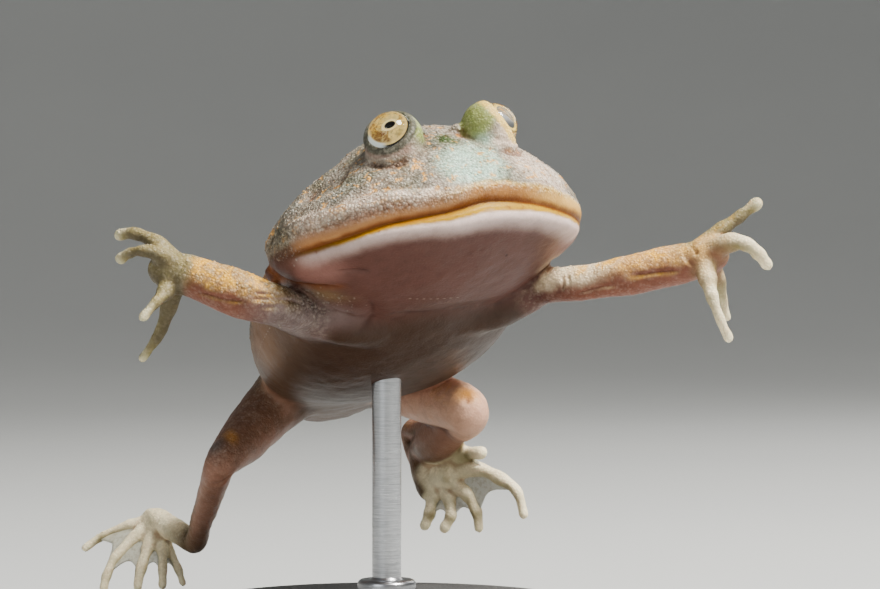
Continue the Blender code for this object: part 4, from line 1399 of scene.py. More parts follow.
@dataclass(frozen=True)
class Mouth:
    """The closed mouth: the line where the lips meet, the upper lip's roll and the lining below it."""

    corner_left: float = -7.0
    corner_right: float = -4.5
    roll: float = 3.3
    roll_right: float = 1.2
    lining: float = 0.75
    lining_middle: float = 0.85

    def above(self, head: np.ndarray) -> np.ndarray:
        """How high points of the head's frame lie above the line where the lips meet."""
        line = spline(MOUTH_LINE, 6)
        return head[:, 2] - np.interp(head[:, 0], line[:, 0], line[:, 1])

    def reach(self, head: np.ndarray) -> np.ndarray:
        """1 along the mouth, falling slowly to 0 towards its corners."""
        back = head[:, 1] - np.where(head[:, 0] < 0, self.corner_right, self.corner_left)
        return smooth_step(0.0, -6.0, back) * smooth_step(13.0, 16.0, np.linalg.norm(head[:, :2], axis=1))

    def roll_height(self, head: np.ndarray) -> np.ndarray:
        """How high the upper lip's roll is, in millimetres."""
        return self.roll + self.roll_right * smooth_step(-6.0, -16.0, head[:, 0])

    def lining_depth(self, head: np.ndarray) -> np.ndarray:
        """How much of the mouth's yellow lining shows below the line, in millimetres."""
        return self.lining + self.lining_middle * bell(head[:, 0], 1.0, 10.0)

    def relief(self, head: np.ndarray) -> np.ndarray:
        """How far the lips stand out and the line between them sinks.

        Args:
            head: Points of the head's frame.

        Returns:
            The height of each point, in millimetres.
        """
        line, roll = self.above(head), self.roll_height(head)
        below = line + self.lining_depth(head)
        relief = (0.3 * smooth_step(-5.0, 8.0, head[:, 0]) - 0.75) * bell(line, 0.0, 0.5)
        relief += 0.42 * bell(line, 0.72 * roll, 0.42 * roll)
        relief -= 0.14 * bell(line - roll, 1.2, 0.8)
        relief += 0.45 * bell(line, roll, 0.9) * smooth_step(-6.0, -14.0, head[:, 0])
        relief += 0.36 * bell(below, -0.9, 1.1)
        relief -= 0.3 * bell(below, -3.6, 1.7)
        return relief * self.reach(head)


@dataclass
class SkinPaint:
    """The skin's colours and the masks of its finish, laid on its points one over the other."""

    surface: Surface
    sockets: EyeSockets
    mouth: Mouth

    def __post_init__(self) -> None:
        """Starts with the belly's colour, darkened as painted shade, all over and every mask at 0."""
        points = self.surface.points
        self.local, self.jaw = points / MM, JAW.local(points)
        self.head, self.torso = HEAD.local(points), TORSO.local(points)
        self.tint = np.tile(np.array(Hue.BELLY_SHADED.value), (len(points), 1))
        self.masks = {name: np.zeros(len(points)) for name in MASKS}
        self.line = self.mouth.above(self.head)
        self.band = self.front = np.zeros(len(points))

    def lay(self, hue: Hue, share: np.ndarray) -> None:
        """Lays a colour over what is there."""
        self.tint += (np.array(hue.value) - self.tint) * share[:, None]

    def body(self) -> None:
        """Colours the trunk and the head, and says where they are warty and flecked."""
        height, high = self.torso[:, 2], self.head[:, 2]
        ragged = height + 3.5 * lattice_noise(self.torso, 6.0, 11) + 1.5 * lattice_noise(self.torso, 2.0, 13)
        back = smooth_step(-4.0, 7.0, ragged)
        # The flanks' colour is darkened as painted shade.
        self.lay(Hue.FLANK_SHADED, smooth_step(-12.5, -6.0, height))
        self.lay(Hue.BACK, back)
        self.lay(Hue.BACK_BLOTCH, back * smooth_step(0.1, 0.5, lattice_noise(self.torso, 8.0, 12)) * 0.7)
        in_head = smooth_step(14.0, 8.0, self.head[:, 1]) * smooth_step(-15.0, -11.0, high)
        # Painted shade: the lower head takes the throat's darkened colour.
        self.lay(Hue.THROAT_SHADED, in_head * smooth_step(1.0, -3.0, high))
        crown = in_head * smooth_step(-0.5, 1.0, high)
        self.lay(Hue.HEAD_GREY, crown)
        self.lay(Hue.HEAD_OLIVE, crown * smooth_step(-0.1, 0.5, lattice_noise(self.local, 4.2, 14)) * 0.6)
        self.lay(Hue.HEAD_SLATE, crown * smooth_step(0.0, 0.5, lattice_noise(self.local, 3.0, 15)) * 0.35)
        for zone in ZONES:
            self.lay(zone.hue, zone.share(self.surface.points))
        self.masks["warty"] = np.maximum(crown, 0.7 * back)
        self.masks["flecked"] = np.maximum(crown * smooth_step(1.0, 4.0, high), 0.7 * back)

    def lips(self) -> None:
        """Colours the upper lip and the mouth's line, in bands above the line where the lips meet."""
        across, line = self.head[:, 0], self.line
        uneven = 0.25 * lattice_noise(self.local, 2.4, 31) + 0.12 * lattice_noise(self.local, 0.9, 32)
        left = smooth_step(-14.0, 2.0, across)
        band = line / (self.mouth.roll_height(self.head) * (1 + 0.6 * uneven))
        front = smooth_step(0.0, 0.9, self.mouth.reach(self.head) + 0.3 * uneven)
        front *= smooth_step(-27.4, -23.6, across)
        over = smooth_step(-0.1, 0.1, line)
        lip = front * over * smooth_step(1.05, 0.4 + 0.35 * left, band)
        self.lay(Hue.LIP_MAUVE, lip * (1 - left))
        self.lay(Hue.LIP_TAN, lip * left)
        # Painted highlight: a light band along the top of the roll on the left.
        self.lay(Hue.LIP_HIGHLIGHT, front * left * bell(band, 0.88, 0.14) * 0.75)
        # Painted highlight: a pale band along the top of the roll on the right.
        self.lay(Hue.CHEEK, front * (1 - left) * bell(band, 0.95, 0.22) * 0.95)
        self.lay(Hue.LIP_TAN, front * (1 - left) * smooth_step(2.6, 0.8, line) * over * 0.8)
        # Painted highlight: the lip lighter on its far left.
        self.lay(Hue.LIP_HIGHLIGHT, lip * smooth_step(6.0, 16.0, across) * 0.5)
        # Painted shade: brown under the upper lip's overhang, just above the line.
        overhang_shade = front * smooth_step(0.9 + 0.7 * left, 0.1, line + uneven)
        self.lay(Hue.LIP_BROWN, overhang_shade * smooth_step(-0.35, 0.0, line) * 0.92)
        self.band, self.front = band, front
        self.lining(left, line + 0.5 * uneven)
        smooth = front * smooth_step(0.5 + 0.45 * left, 0.15 + 0.25 * left, band)
        for mask in ("warty", "flecked"):
            self.masks[mask] *= 1 - 0.85 * smooth

    def lining(self, left: np.ndarray, under: np.ndarray) -> None:
        """Colours the mouth's lining and the lower lip.

        Args:
            left: How far each point belongs to the left half, from 0 to 1.
            under: How high it lies above the mouth's line, made uneven.
        """
        across, line, front = self.head[:, 0], self.line, self.front
        lining = self.mouth.lining_depth(self.head)
        fading = 0.3 + 0.7 * smooth_step(-24.5, -18.0, across)
        white = smooth_step(-lining - 2.6 - 0.7 * left, -lining - 0.2 - 0.5 * left, under)
        white *= smooth_step(0.3 - lining, -0.4 - lining, under) * (0.55 + 0.45 * smooth_step(-24.0, -12.0, across))
        self.lay(Hue.LIP_WHITE, front * white)
        yellow = front * smooth_step(-lining - 0.3, 0.15 - lining, under)
        self.lay(Hue.MOUTH_YELLOW, yellow * smooth_step(0.0, -0.3, line) * fading)
        # Painted shade: the lining amber close under the upper lip.
        lining_shade = smooth_step(-lining, -0.25 * lining - 0.1, under) * smooth_step(0.15, -0.1, line)
        self.lay(Hue.MOUTH_AMBER_SHADED, front * lining_shade * (0.95 - 0.8 * left) * fading)
        specks = smooth_step(0.62, 0.8, lattice_noise(self.local, 0.8, 33))
        self.lay(Hue.LIP_BROWN, front * specks * bell(line, -0.8 * lining, 0.5) * 0.8)

    def limbs(self) -> None:
        """Colours the limbs, each from its root to its tip."""
        up = self.surface.normals[:, 2]
        above = smooth_step(-0.5, 0.7, up + 0.3 * lattice_noise(self.local, 1.6, 21))
        for limb in LIMB_TINTS:
            points = spline(limb.line, 4)
            far, where = line_distance(self.jaw, points[:, :3])
            radius = np.interp(where, np.linspace(0, 1, len(points)), points[:, 3])
            near = smooth_step(1.75, 1.2, far / radius)
            if limb.start:
                near *= smooth_step(limb.start, limb.start + 0.12, where)
            shares = [row[0] for row in limb.tints]
            colour = np.zeros_like(self.tint)
            for k, weight in ((1, above), (2, 1 - above)):
                rows = np.array([row[k].value for row in limb.tints])
                mixed = np.stack([np.interp(where, shares, rows[:, c]) for c in range(4)], axis=1)
                colour += mixed * weight[:, None]
            self.tint += (colour - self.tint) * near[:, None]
            gilt = limb.golden * smooth_step(0.3, 0.9, above)
            gilt *= smooth_step(limb.golden_start, limb.golden_start + 0.12, where)
            for mask, amount in (("warty", limb.warty * (0.35 + 0.65 * above)), ("golden", gilt)):
                self.masks[mask] += (amount - self.masks[mask]) * near
            self.masks["flecked"] *= 1 - near
        for zone in LATE_ZONES:
            share = zone.share(self.surface.points)
            self.lay(zone.hue, share)
            if zone.hue is Hue.KNEE:
                self.masks["golden"] *= 1 - share

    def lids(self) -> None:
        """Colours the lids: green on the domes, cream along the left one's edge."""
        for side in (1, -1):
            middle = self.sockets.middle(side)
            away = (self.head - middle) @ self.sockets.aim(side)[0]
            out = np.linalg.norm(self.head - middle, axis=1)
            dome = smooth_step(5.6, 5.0, out)
            inward = -side * (self.head[:, 0] - middle[0]) + 0.8 * (self.head[:, 2] - middle[2])
            green = dome * smooth_step(0.2, 2.2, inward) * smooth_step(11.2, 13.0, self.head[:, 2])
            rim, skin, depth = (Hue.LID_RIM, Hue.CHEEK, 0.95) if side > 0 else (Hue.LID_SHADE, Hue.LID_PINK, 0.45)
            self.lay(skin, dome * smooth_step(0.6, -1.6, inward) * 0.75)
            self.lay(Hue.LID_GREEN, green * 0.85)
            inner = self.sockets.opening - depth
            self.lay(rim, smooth_step(inner - 0.25, inner + 0.05, away) * smooth_step(5.2, 4.9, out) * 0.95)
            self.masks["warty"] *= 1 - 0.6 * smooth_step(5.8, 5.2, out)
            self.masks["flecked"] *= 1 - smooth_step(6.0, 5.2, out)

    def folds(self) -> None:
        """Says where the skin's folds are darkened as painted shade, and colours the folds behind the mouth and the
        veins.
        """
        deep = np.clip((self.surface.hollows() - 0.035) * 5.0, 0, 0.75)
        self.masks["hollow"] = deep * (1 - 0.8 * self.front * smooth_step(4.0, 2.5, np.abs(self.line)))
        for side, share in ((-1, 0.85), (1, 0.4)):
            far, where = line_distance(self.head, spline(np.array(JAW_CREASE) * (side, 1, 1), 4))
            self.lay(Hue.FOLD_OCHRE, share * bell(far, 0.0, 0.75) * smooth_step(1.0, 0.75, where))
        for vein in VEINS:
            far, _ = line_distance(self.jaw, spline(vein, 4))
            self.lay(Hue.VEIN, 0.4 * bell(far, 0.0, 0.3))

    def granules(self) -> None:
        """Says where granules stand: all over the head, and thickest in their own zones."""
        near = np.minimum(*(np.linalg.norm(self.head - self.sockets.middle(side), axis=1) for side in (1, -1)))
        free = 1 - np.maximum(self.front * smooth_step(1.1, 0.7, self.band), smooth_step(6.4, 5.6, near))
        found = 0.3 * np.clip(self.masks["warty"] - 0.2, 0, 1) * free
        for zone in GRANULE_ZONES:
            found = np.maximum(found, zone.share(self.surface.points) * free)
        self.masks["granular"] = found

    def keep(self, mesh: Mesh) -> None:
        """Lays every colour in turn and keeps them on the mesh, with the masks.

        Args:
            mesh: The skin's mesh.
        """
        for step in (self.body, self.lips, self.limbs, self.lids, self.folds, self.granules):
            step()
        attribute = mesh.attributes.new("tint", "FLOAT_COLOR", "POINT")
        attribute.data.foreach_set("color", self.tint.ravel())
        for name, mask in self.masks.items():
            keep_numbers(mesh, name, np.clip(mask, 0, 1))


@dataclass
class Frog:
    """The frog's skin: one closed mesh over head, torso, limbs, hands and feet."""

    sockets: EyeSockets = field(default_factory=EyeSockets)
    mouth: Mouth = field(default_factory=Mouth)
    voxel: float = 0.3
    triangles: int = 188_000
    torso_roundness: float = 2.2
    head_roundness: float = 2.15
    outline_sides: int = 144
    outline_steps: int = 8
    limb_sides: int = 36
    limb_steps: int = 10
    blend_times: int = 150
    settle_times: int = 3

    def torso_form(self) -> Form:
        """Makes the trunk, from the chest to the rump.

        Returns:
            The trunk's form.
        """
        rings = []
        for back, half, rise, drop in spline(TORSO_STATIONS, self.outline_steps):
            outline = oval(half, rise, drop, self.torso_roundness, self.outline_sides)
            ring = np.stack((outline[:, 0], np.full(len(outline), back), outline[:, 1]), axis=1)
            rings.append(TORSO.placed(ring))
        return Form.lofted(np.array(rings))

    def head_form(self) -> Form:
        """Makes the head, before its mouth is worked in.

        Returns:
            The head's form.
        """
        rings = []
        for height, half, front, middle, back in spline(HEAD_STATIONS, self.outline_steps):
            outline = oval(half, back + middle, front - middle, self.head_roundness, self.outline_sides)
            high = np.full(len(outline), height)
            rings.append(HEAD.placed(np.stack((outline[:, 0], outline[:, 1] - middle, high), axis=1)))
        return Form.lofted(np.array(rings))

    def eye_forms(self, views: Sequence[Form]) -> list[Form]:
        """Makes what stands up round the eyes.

        Args:
            views: The spaces kept free in front of the eyes.

        Returns:
            The mounds, lid domes, lid rims and nostril swellings.
        """
        sockets = self.sockets
        made = []
        for side in (1, -1):
            mound = HEAD.placed(sockets.middle(side, sockets.mound_offset))
            made.append(cut(ball(mound, sockets.mound_radius * MM, 48), views))
            dome = ball(HEAD.placed(sockets.middle(side)), sockets.lid_radius * MM, 64)
            made += [cut(dome, views), sockets.rim(side)]
            nostril = np.array(sockets.nostril) * (side, 1, 1)
            made.append(ball(HEAD.placed(nostril), sockets.nostril_rim * MM, 32))
        return made

    def blends(self) -> list[tuple[np.ndarray, float, float]]:
        """Says where the skin is smoothed most.

        Returns:
            Points in metres, each with a radius in millimetres and a strength.
        """
        spots = [(JAW.placed(np.array(limb[1][:3])), 9.0, 1.0) for limb in (ARM_RIGHT, ARM_LEFT)]
        spots += [(JAW.placed(np.array(limb[1][:3])), 10.0, 1.0) for limb in (LEG_RIGHT, LEG_LEFT)]
        spots += [(JAW.placed(np.array(muscle[2][:3])), 7.0, 1.0) for muscle in CHEST_MUSCLES]
        spots += [(HEAD.placed(np.array(point)), radius, 1.0) for point, radius in HEAD_BLENDS]
        spots += [(HEAD.placed(self.sockets.middle(side, (0.5, 0.0, -3.0))), 7.0, 0.05) for side in (1, -1)]
        spots += [(JAW.placed(np.array(part.palm[1][:3])), 6.0, 0.12) for part in EXTREMITIES]
        spots.append((JAW.placed(np.array(CALVES[0][1][:3])), 10.0, 0.12))
        return spots

    def whole(self) -> Object:
        """Fuses all the forms into one closed skin and softens it where they meet.

        Returns:
            The skin's object.
        """
        views = [self.sockets.view(side) for side in (1, -1)]
        forms = [self.torso_form(), cut(self.head_form(), views), *self.eye_forms(views)]
        for limb in (ARM_RIGHT, ARM_LEFT, LEG_RIGHT, LEG_LEFT, *CHEST_MUSCLES, *CALVES):
            forms.append(limb_tube(limb, self.limb_sides, self.limb_steps))
        for extremity in EXTREMITIES:
            forms += extremity.forms()
        skin = joined("frog_skin", forms)
        remesh = skin.modifiers.new("skin", "REMESH")
        remesh.mode = "VOXEL"
        remesh.voxel_size = self.voxel * MM
        applied(skin)
        surface = Surface.of(skin)
        weight = np.zeros(len(surface.points))
        for point, radius, strength in self.blends():
            far = np.linalg.norm(surface.points - point, axis=1) / (radius * MM)
            weight = np.maximum(weight, strength * np.clip(1.4 * (1 - far), 0, 1))
        surface.points = surface.spread(surface.points, self.blend_times, 0.6 * weight)
        surface.points = surface.spread(surface.points, self.settle_times, 0.5)
        self.write(skin, surface.points)
        return skin

    @staticmethod
    def write(skin: Object, points: np.ndarray) -> None:
        """Puts moved points back into the mesh."""
        skin.data.vertices.foreach_set("co", points.ravel())
        skin.data.update()

    def strokes(self) -> list[Stroke]:
        """Gathers the folds, creases and swellings of the skin.

        Returns:
            The strokes of the table, and those that are the same on both sides.
        """
        made = list(STROKES)
        for side in (1, -1):
            for line, width, depth in LID_FOLDS:
                made.append(Stroke(HEAD, [(x * side, y, z) for x, y, z in line], width, depth))
        # The fold behind each corner of the mouth: the crease, and the swelling that it runs round.
        for side, share in ((-1, 1.0), (1, 0.4)):
            crease, swelling = ([(x * side, y, z) for x, y, z in line] for line in (JAW_CREASE, JAW_SWELLING))
            made.append(Stroke(HEAD, crease, 0.9, -0.6 * share))
            made.append(Stroke(HEAD, swelling, 2.2, 0.6 * share, 0.0))
        return made

    def work(self, skin: Object) -> None:
        """Works folds, swellings and unevenness into the skin.

        Args:
            skin: The skin's object.
        """
        surface = Surface.of(skin)
        height = np.zeros(len(surface.points))
        for stroke in self.strokes():
            height += stroke.height(surface.points)
        head, local = HEAD.local(surface.points), surface.points / MM
        height += self.mouth.relief(head)
        calm = 1 - 0.8 * smooth_step(6.0, 3.0, np.abs(self.mouth.above(head))) * self.mouth.reach(head)
        lumps = 0.16 * lattice_noise(local, 5.2, 1) + 0.08 * lattice_noise(local, 2.3, 2)
        lumps += 0.05 * lattice_noise(local, 1.0, 3)
        height += lumps * calm
        self.write(skin, surface.points + surface.normals * height[:, None] * MM)

    def thinned(self, skin: Object) -> None:
        """Thins the mesh to its number of triangles.

        Args:
            skin: The skin's object.
        """
        faces = 2 * len(skin.data.polygons)
        LOG.info("skin before thinning: %d triangles", faces)
        if faces > self.triangles:
            thin = skin.modifiers.new("thin", "DECIMATE")
            thin.ratio = self.triangles / faces
            applied(skin)

    def build(self, finish: Material) -> Object:
        """Makes the finished skin.

        Args:
            finish: The skin's material.

        Returns:
            The skin's object.
        """
        skin = self.whole()
        self.work(skin)
        self.thinned(skin)
        SkinPaint(Surface.of(skin), self.sockets, self.mouth).keep(skin.data)
        return finished(skin, finish)


def grown(name: str, carrier: Mesh, tree: NodeTree, settings: dict[str, object]) -> Object:
    """Runs a Geometry Nodes tree on a mesh and keeps what it makes as a plain mesh object.

    Args:
        name: The new object's name.
        carrier: The mesh that the tree works on, which is used up.
        tree: The tree.
        settings: The values of its named inputs.

    Returns:
        The object.
    """
    obj = bpy.data.objects.new(name, carrier)
    bpy.context.scene.collection.objects.link(obj)
    modifier = obj.modifiers.new(name, "NODES")
    modifier.node_group = tree
    for socket in tree.interface.items_tree:
        if socket.in_out == "INPUT" and socket.name in settings:
            modifier[socket.identifier] = settings[socket.name]
    applied(obj)
    bpy.data.meshes.remove(carrier)
    LOG.info("%s: %d faces", name, len(obj.data.polygons))
    return obj


def growth_tree(name: str, inputs: Sequence[tuple[str, str]]) -> tuple[NodeTree, Graph, Node]:
    """Starts a Geometry Nodes tree.

    Args:
        name: The tree's name.
        inputs: The name and the kind of each input besides the geometry.

    Returns:
        The tree, its graph and the node that gives its inputs.
    """
    tree = bpy.data.node_groups.new(name, "GeometryNodeTree")
    for label, kind in (("Geometry", "Geometry"), *inputs):
        tree.interface.new_socket(label, in_out="INPUT", socket_type="NodeSocket" + kind)
    tree.interface.new_socket("Geometry", in_out="OUTPUT", socket_type="NodeSocketGeometry")
    graph = Graph(tree)
    return tree, graph, graph.node("NodeGroupInput")


def set_out(graph: Graph, points: object, turned: object, scale: object, finish: object) -> None:
    """Ends a tree: a low dome at each point, made real, smooth and given its material.

    Args:
        graph: The tree's graph.
        points: The points.
        turned: Their rotations.
        scale: The size of each dome along its three axes.
        finish: The material.
    """
    dome = graph.node("GeometryNodeMeshUVSphere", {"Segments": 7, "Rings": 4, "Radius": 1.0}).outputs["Mesh"]
    inputs = {"Points": points, "Instance": dome, "Rotation": turned, "Scale": scale}
    placed = graph.node("GeometryNodeInstanceOnPoints", inputs).outputs["Instances"]
    real = graph.node("GeometryNodeRealizeInstances", {"Geometry": placed}).outputs["Geometry"]
    soft = graph.node("GeometryNodeSetShadeSmooth", {"Geometry": real}).outputs["Geometry"]
    done = graph.node("GeometryNodeSetMaterial", {"Geometry": soft, "Material": finish}).outputs["Geometry"]
    graph.node("NodeGroupOutput", {"Geometry": done})


@dataclass
class Granules:
    """Low domes of skin, scattered where the skin's mesh says that it is granular."""

    density: float = 4.2e6
    smallest: float = 0.08
    largest: float = 0.27
    flatness: float = 0.6
    paleness: float = 0.16
    pale: Tint = (0.86, 0.8, 0.68, 1.0)
    seed: int = 7

    def tree(self) -> NodeTree:
        """Builds the Geometry Nodes tree.

        Returns:
            The tree.
        """
        floats = ("Density", "Smallest", "Largest", "Flatness", "Paleness")
        inputs = [*((label, "Float") for label in floats), ("Seed", "Int"), ("Finish", "Material")]
        tree, graph, given = growth_tree("scattered_granules", inputs)
        at = given.outputs
        wanted = graph.node("GeometryNodeInputNamedAttribute", {"Name": "granular"}, data_type="FLOAT").outputs[0]
        density = graph.times(wanted, at["Density"])
        inputs = {"Mesh": at["Geometry"], "Density": density, "Seed": at["Seed"]}
        found = graph.node("GeometryNodeDistributePointsOnFaces", inputs)
        inputs = {2: 0.0, 3: 1.0, "Seed": at["Seed"]}
        random = graph.node("FunctionNodeRandomValue", inputs, data_type="FLOAT").outputs[1]
        shade = graph.times(random, at["Paleness"])
        tint = graph.node("GeometryNodeInputNamedAttribute", {"Name": "tint"}, data_type="FLOAT_COLOR").outputs[0]
        paler = graph.mix(shade, tint, self.pale)
        inputs = {"Geometry": found.outputs["Points"], "Name": "tint", "Value": paler}
        tinted = graph.node("GeometryNodeStoreNamedAttribute", inputs, data_type="FLOAT_COLOR", domain="POINT")
        spread = graph.math("SUBTRACT", at["Largest"], at["Smallest"])
        size = graph.scaled(graph.math("POWER", random, 2.0), spread, at["Smallest"])
        high = graph.times(size, at["Flatness"])
        scale = graph.node("ShaderNodeCombineXYZ", {0: size, 1: size, 2: high}).outputs[0]
        set_out(graph, tinted.outputs[0], found.outputs["Rotation"], scale, at["Finish"])
        return tree

    def build(self, skin: Object, finish: Material) -> Object:
        """Scatters the granules over the skin.

        Args:
            skin: The finished skin.
            finish: The granules' material.

        Returns:
            The granules' object.
        """
        settings = {
            "Density": self.density,
            "Smallest": self.smallest * MM,
            "Largest": self.largest * MM,
            "Flatness": self.flatness,
            "Paleness": self.paleness,
            "Seed": self.seed,
            "Finish": finish,
        }
        return grown("skin_granules", skin.data.copy(), self.tree(), settings)


@dataclass
class LateralLines:
    """Rows of short pale stitches, the sense organs that run along the frog's body."""

    rows: Sequence[tuple[Bearing, Sequence[Point]]] = LATERAL_ROWS
    spacing: float = 1.2
    length: float = 0.34
    width: float = 0.1
    sink: float = 0.04
    paleness: float = 0.2
    pale: Tint = (0.86, 0.78, 0.64, 1.0)

    def tree(self) -> NodeTree:
        """Builds the Geometry Nodes tree.

        Returns:
            The tree.
        """
        inputs = (("Spacing", "Float"), ("Length", "Float"), ("Width", "Float"), ("Finish", "Material"))
        tree, graph, given = growth_tree("rows_of_stitches", inputs)
        at = given.outputs
        curve = graph.node("GeometryNodeMeshToCurve", {"Mesh": at["Geometry"]}).outputs["Curve"]
        along = graph.node("GeometryNodeCurveToPoints", {"Curve": curve, "Length": at["Spacing"]}, mode="LENGTH")
        turned = graph.node("FunctionNodeAlignRotationToVector", {"Vector": along.outputs["Tangent"]}, axis="Z")
        scale = graph.node("ShaderNodeCombineXYZ", {0: at["Width"], 1: at["Width"], 2: at["Length"]}).outputs[0]
        set_out(graph, along.outputs["Points"], turned.outputs["Rotation"], scale, at["Finish"])
        return tree

    def laid(self, skin: Object) -> Mesh:
        """The rows as edges that lie on the skin, tinted a little paler than it.

        Args:
            skin: The finished skin.

        Returns:
            The mesh.
        """
        data = skin.data
        surface = BVHTree.FromPolygons([v.co for v in data.vertices], [p.vertices for p in data.polygons])
        tints = np.empty(len(data.vertices) * 4)
        data.attributes["tint"].data.foreach_get("color", tints)
        tints = tints.reshape(-1, 4)
        points: list[Vector] = []
        edges: list[tuple[int, int]] = []
        colours = []
        for frame, row in self.rows:
            for k, at in enumerate(frame.placed(spline(row, 12))):
                place, normal, face, _ = surface.find_nearest(Vector(at))
                if k:
                    edges.append((len(points) - 1, len(points)))
                points.append(place - normal * self.sink * MM)
                colours.append(tints[data.polygons[face].vertices[0]])
        mesh = bpy.data.meshes.new("rows")
        mesh.from_pydata(points, edges, [])
        tint = np.array(colours) * (1 - self.paleness) + np.array(self.pale) * self.paleness
        attribute = mesh.attributes.new("tint", "FLOAT_COLOR", "POINT")
        attribute.data.foreach_set("color", tint.ravel())
        for name in MASKS[:4]:
            mesh.attributes.new(name, "FLOAT", "POINT")
        return mesh

    def build(self, skin: Object, finish: Material) -> Object:
        """Sets the stitches along rows laid on the skin.

        Args:
            skin: The finished skin.
            finish: The stitches' material.

        Returns:
            The stitches' object.
        """
        settings = {
            "Spacing": self.spacing * MM,
            "Length": self.length * MM,
            "Width": self.width * MM,
            "Finish": finish,
        }
        return grown("lateral_lines", self.laid(skin), self.tree(), settings)


@dataclass
class Webs:
    """The webs between the toes, as thin closed sheets."""

    reach: float = 0.75
    scallop: float = 0.28
    thickness: float = 0.4
    across: int = 14
    along: int = 18

    def sheet(self, toe_a: Sequence[Station], toe_b: Sequence[Station]) -> tuple[np.ndarray, np.ndarray]:
        """Makes a grid of points between two toes, with a scalloped free edge.

        Args:
            toe_a: One toe.
            toe_b: The next toe.

        Returns:
            The points in metres, and how near a toe each is.
        """
        lines = [spline([row[:3] for row in toe], 10) for toe in (toe_a, toe_b)]
        points, rays = [], []
        for share in np.linspace(0, 1, self.across + 1):
            reach = self.reach * (1.0 - self.scallop * math.sin(math.pi * share))
            at = np.linspace(0, reach, self.along + 1)
            sides = []
            for line in lines:
                whole = np.linspace(0, 1, len(line))
                sides.append(np.stack([np.interp(at, whole, line[:, c]) for c in range(3)], axis=1))
            row = sides[0] * (1 - share) + sides[1] * share
            points.append(row)
            rays.append(np.full(len(row), abs(2 * share - 1) ** 3))
        return JAW.placed(np.vstack(points)), np.concatenate(rays)

    def build(self, name: str, foot: Digits, finish: Material) -> Object:
        """Makes one foot's webs.

        Args:
            name: The object's name.
            foot: The foot.
            finish: The webs' material.

        Returns:
            The webs' object.
        """
        points, rays, faces = [], [], []
        first, row = 0, self.along + 1
        for toe_a, toe_b in zip(foot.digits, foot.digits[1:]):
            grid, ray = self.sheet(toe_a, toe_b)
            points.append(grid)
            rays.append(ray)
            for i in range(self.across):
                for j in range(self.along):
                    a = first + i * row + j
                    faces.append((a, a + 1, a + row + 1, a + row))
            first += len(grid)
        webs = new_object(name, np.vstack(points), faces)
        keep_numbers(webs.data, "ray", np.concatenate(rays))
        thick = webs.modifiers.new("thick", "SOLIDIFY")
        thick.thickness = self.thickness * MM
        thick.offset = 0.0
        applied(webs)
        return finished(webs, finish)


@dataclass
class Eye:
    """One eye: an opaque ball with the iris on its flattened front, and a clear cornea over it."""

    side: int
    sockets: EyeSockets
    gaze_outward: float
    gaze_upward: float
    iris_out: float = 2.3
    iris_dome: float = 0.75
    cornea_gap: float = 0.12
    cornea_bulge: float = 0.14
    pupil_radii: tuple[float, float] = (0.78, 0.56)
    pupil_offset: tuple[float, float] = (0.5, 0.1)
    pupil_lean: float = 20.0
    behind: float = 9.0
    segments: int = 96
    rings: int = 40

    def made(self, name: str, profile: Profile) -> Object:
        """A closed piece turned round the gaze, from pairs of distance out and radius."""
        aim = aimed(self.side, self.gaze_outward, self.gaze_upward)
        return Form.lofted(rings_round(self.sockets.middle(self.side), aim, profile, self.segments)).made(name)

    def mark(self, globe: Object) -> None:
        """Keeps on the ball what the iris's finish reads.

        Args:
            globe: The ball's object.
        """
        local = HEAD.local(np.array([v.co for v in globe.data.vertices])) - self.sockets.middle(self.side)
        axis, level, up = aimed(self.side, self.gaze_outward, self.gaze_upward)
        ahead = local @ axis > 0
        flat = np.stack((local @ level, local @ up), axis=1)
        out = np.where(ahead, np.linalg.norm(flat, axis=1), self.behind)
        lean = np.array(Matrix.Rotation(math.radians(self.pupil_lean), 2))
        round_pupil = np.linalg.norm((flat - self.pupil_offset) @ lean / self.pupil_radii, axis=1)
        # Where the painted white glint lies: low and outward on the iris's edge.
        outward_low = flat @ np.array((0.72 * self.side, -0.69)) / np.maximum(out, 0.1)
        keep_numbers(globe.data, "out", out)
        keep_numbers(globe.data, "pupil", np.where(ahead, round_pupil, self.behind))
        keep_numbers(globe.data, "low", smooth_step(0.72, 0.95, outward_low))
        keep_numbers(globe.data, "lower", smooth_step(0.4, -1.2, flat[:, 1]))

    def build(self, iris: Material, cornea: Material) -> list[Object]:
        """Makes the ball and the cornea.

        Args:
            iris: The ball's material.
            cornea: The cornea's material.

        Returns:
            The two objects.
        """
        word = "left" if self.side > 0 else "right"
        inner = self.sockets.radius - self.cornea_gap
        edge = math.sqrt(inner**2 - self.iris_out**2)
        profile = []
        for lean in np.linspace(-86, math.degrees(math.asin(self.iris_out / inner)), self.rings):
            profile.append((inner * math.sin(math.radians(lean)), inner * math.cos(math.radians(lean))))
        for share in np.linspace(0.97, 0.015, self.rings):
            profile.append((self.iris_out + self.iris_dome * (1 - share**2), edge * share))
        globe = self.made("eye_" + word, profile)
        self.mark(globe)
        radius, bulge = self.sockets.radius, 1 + self.cornea_bulge
        leans = np.linspace(math.asin(1.5 / radius), math.radians(89), self.rings)
        dome = [(radius * bulge * math.sin(lean), radius * math.cos(lean)) for lean in leans]
        lens = self.made("cornea_" + word, dome)
        return [finished(globe, iris), finished(lens, cornea)]


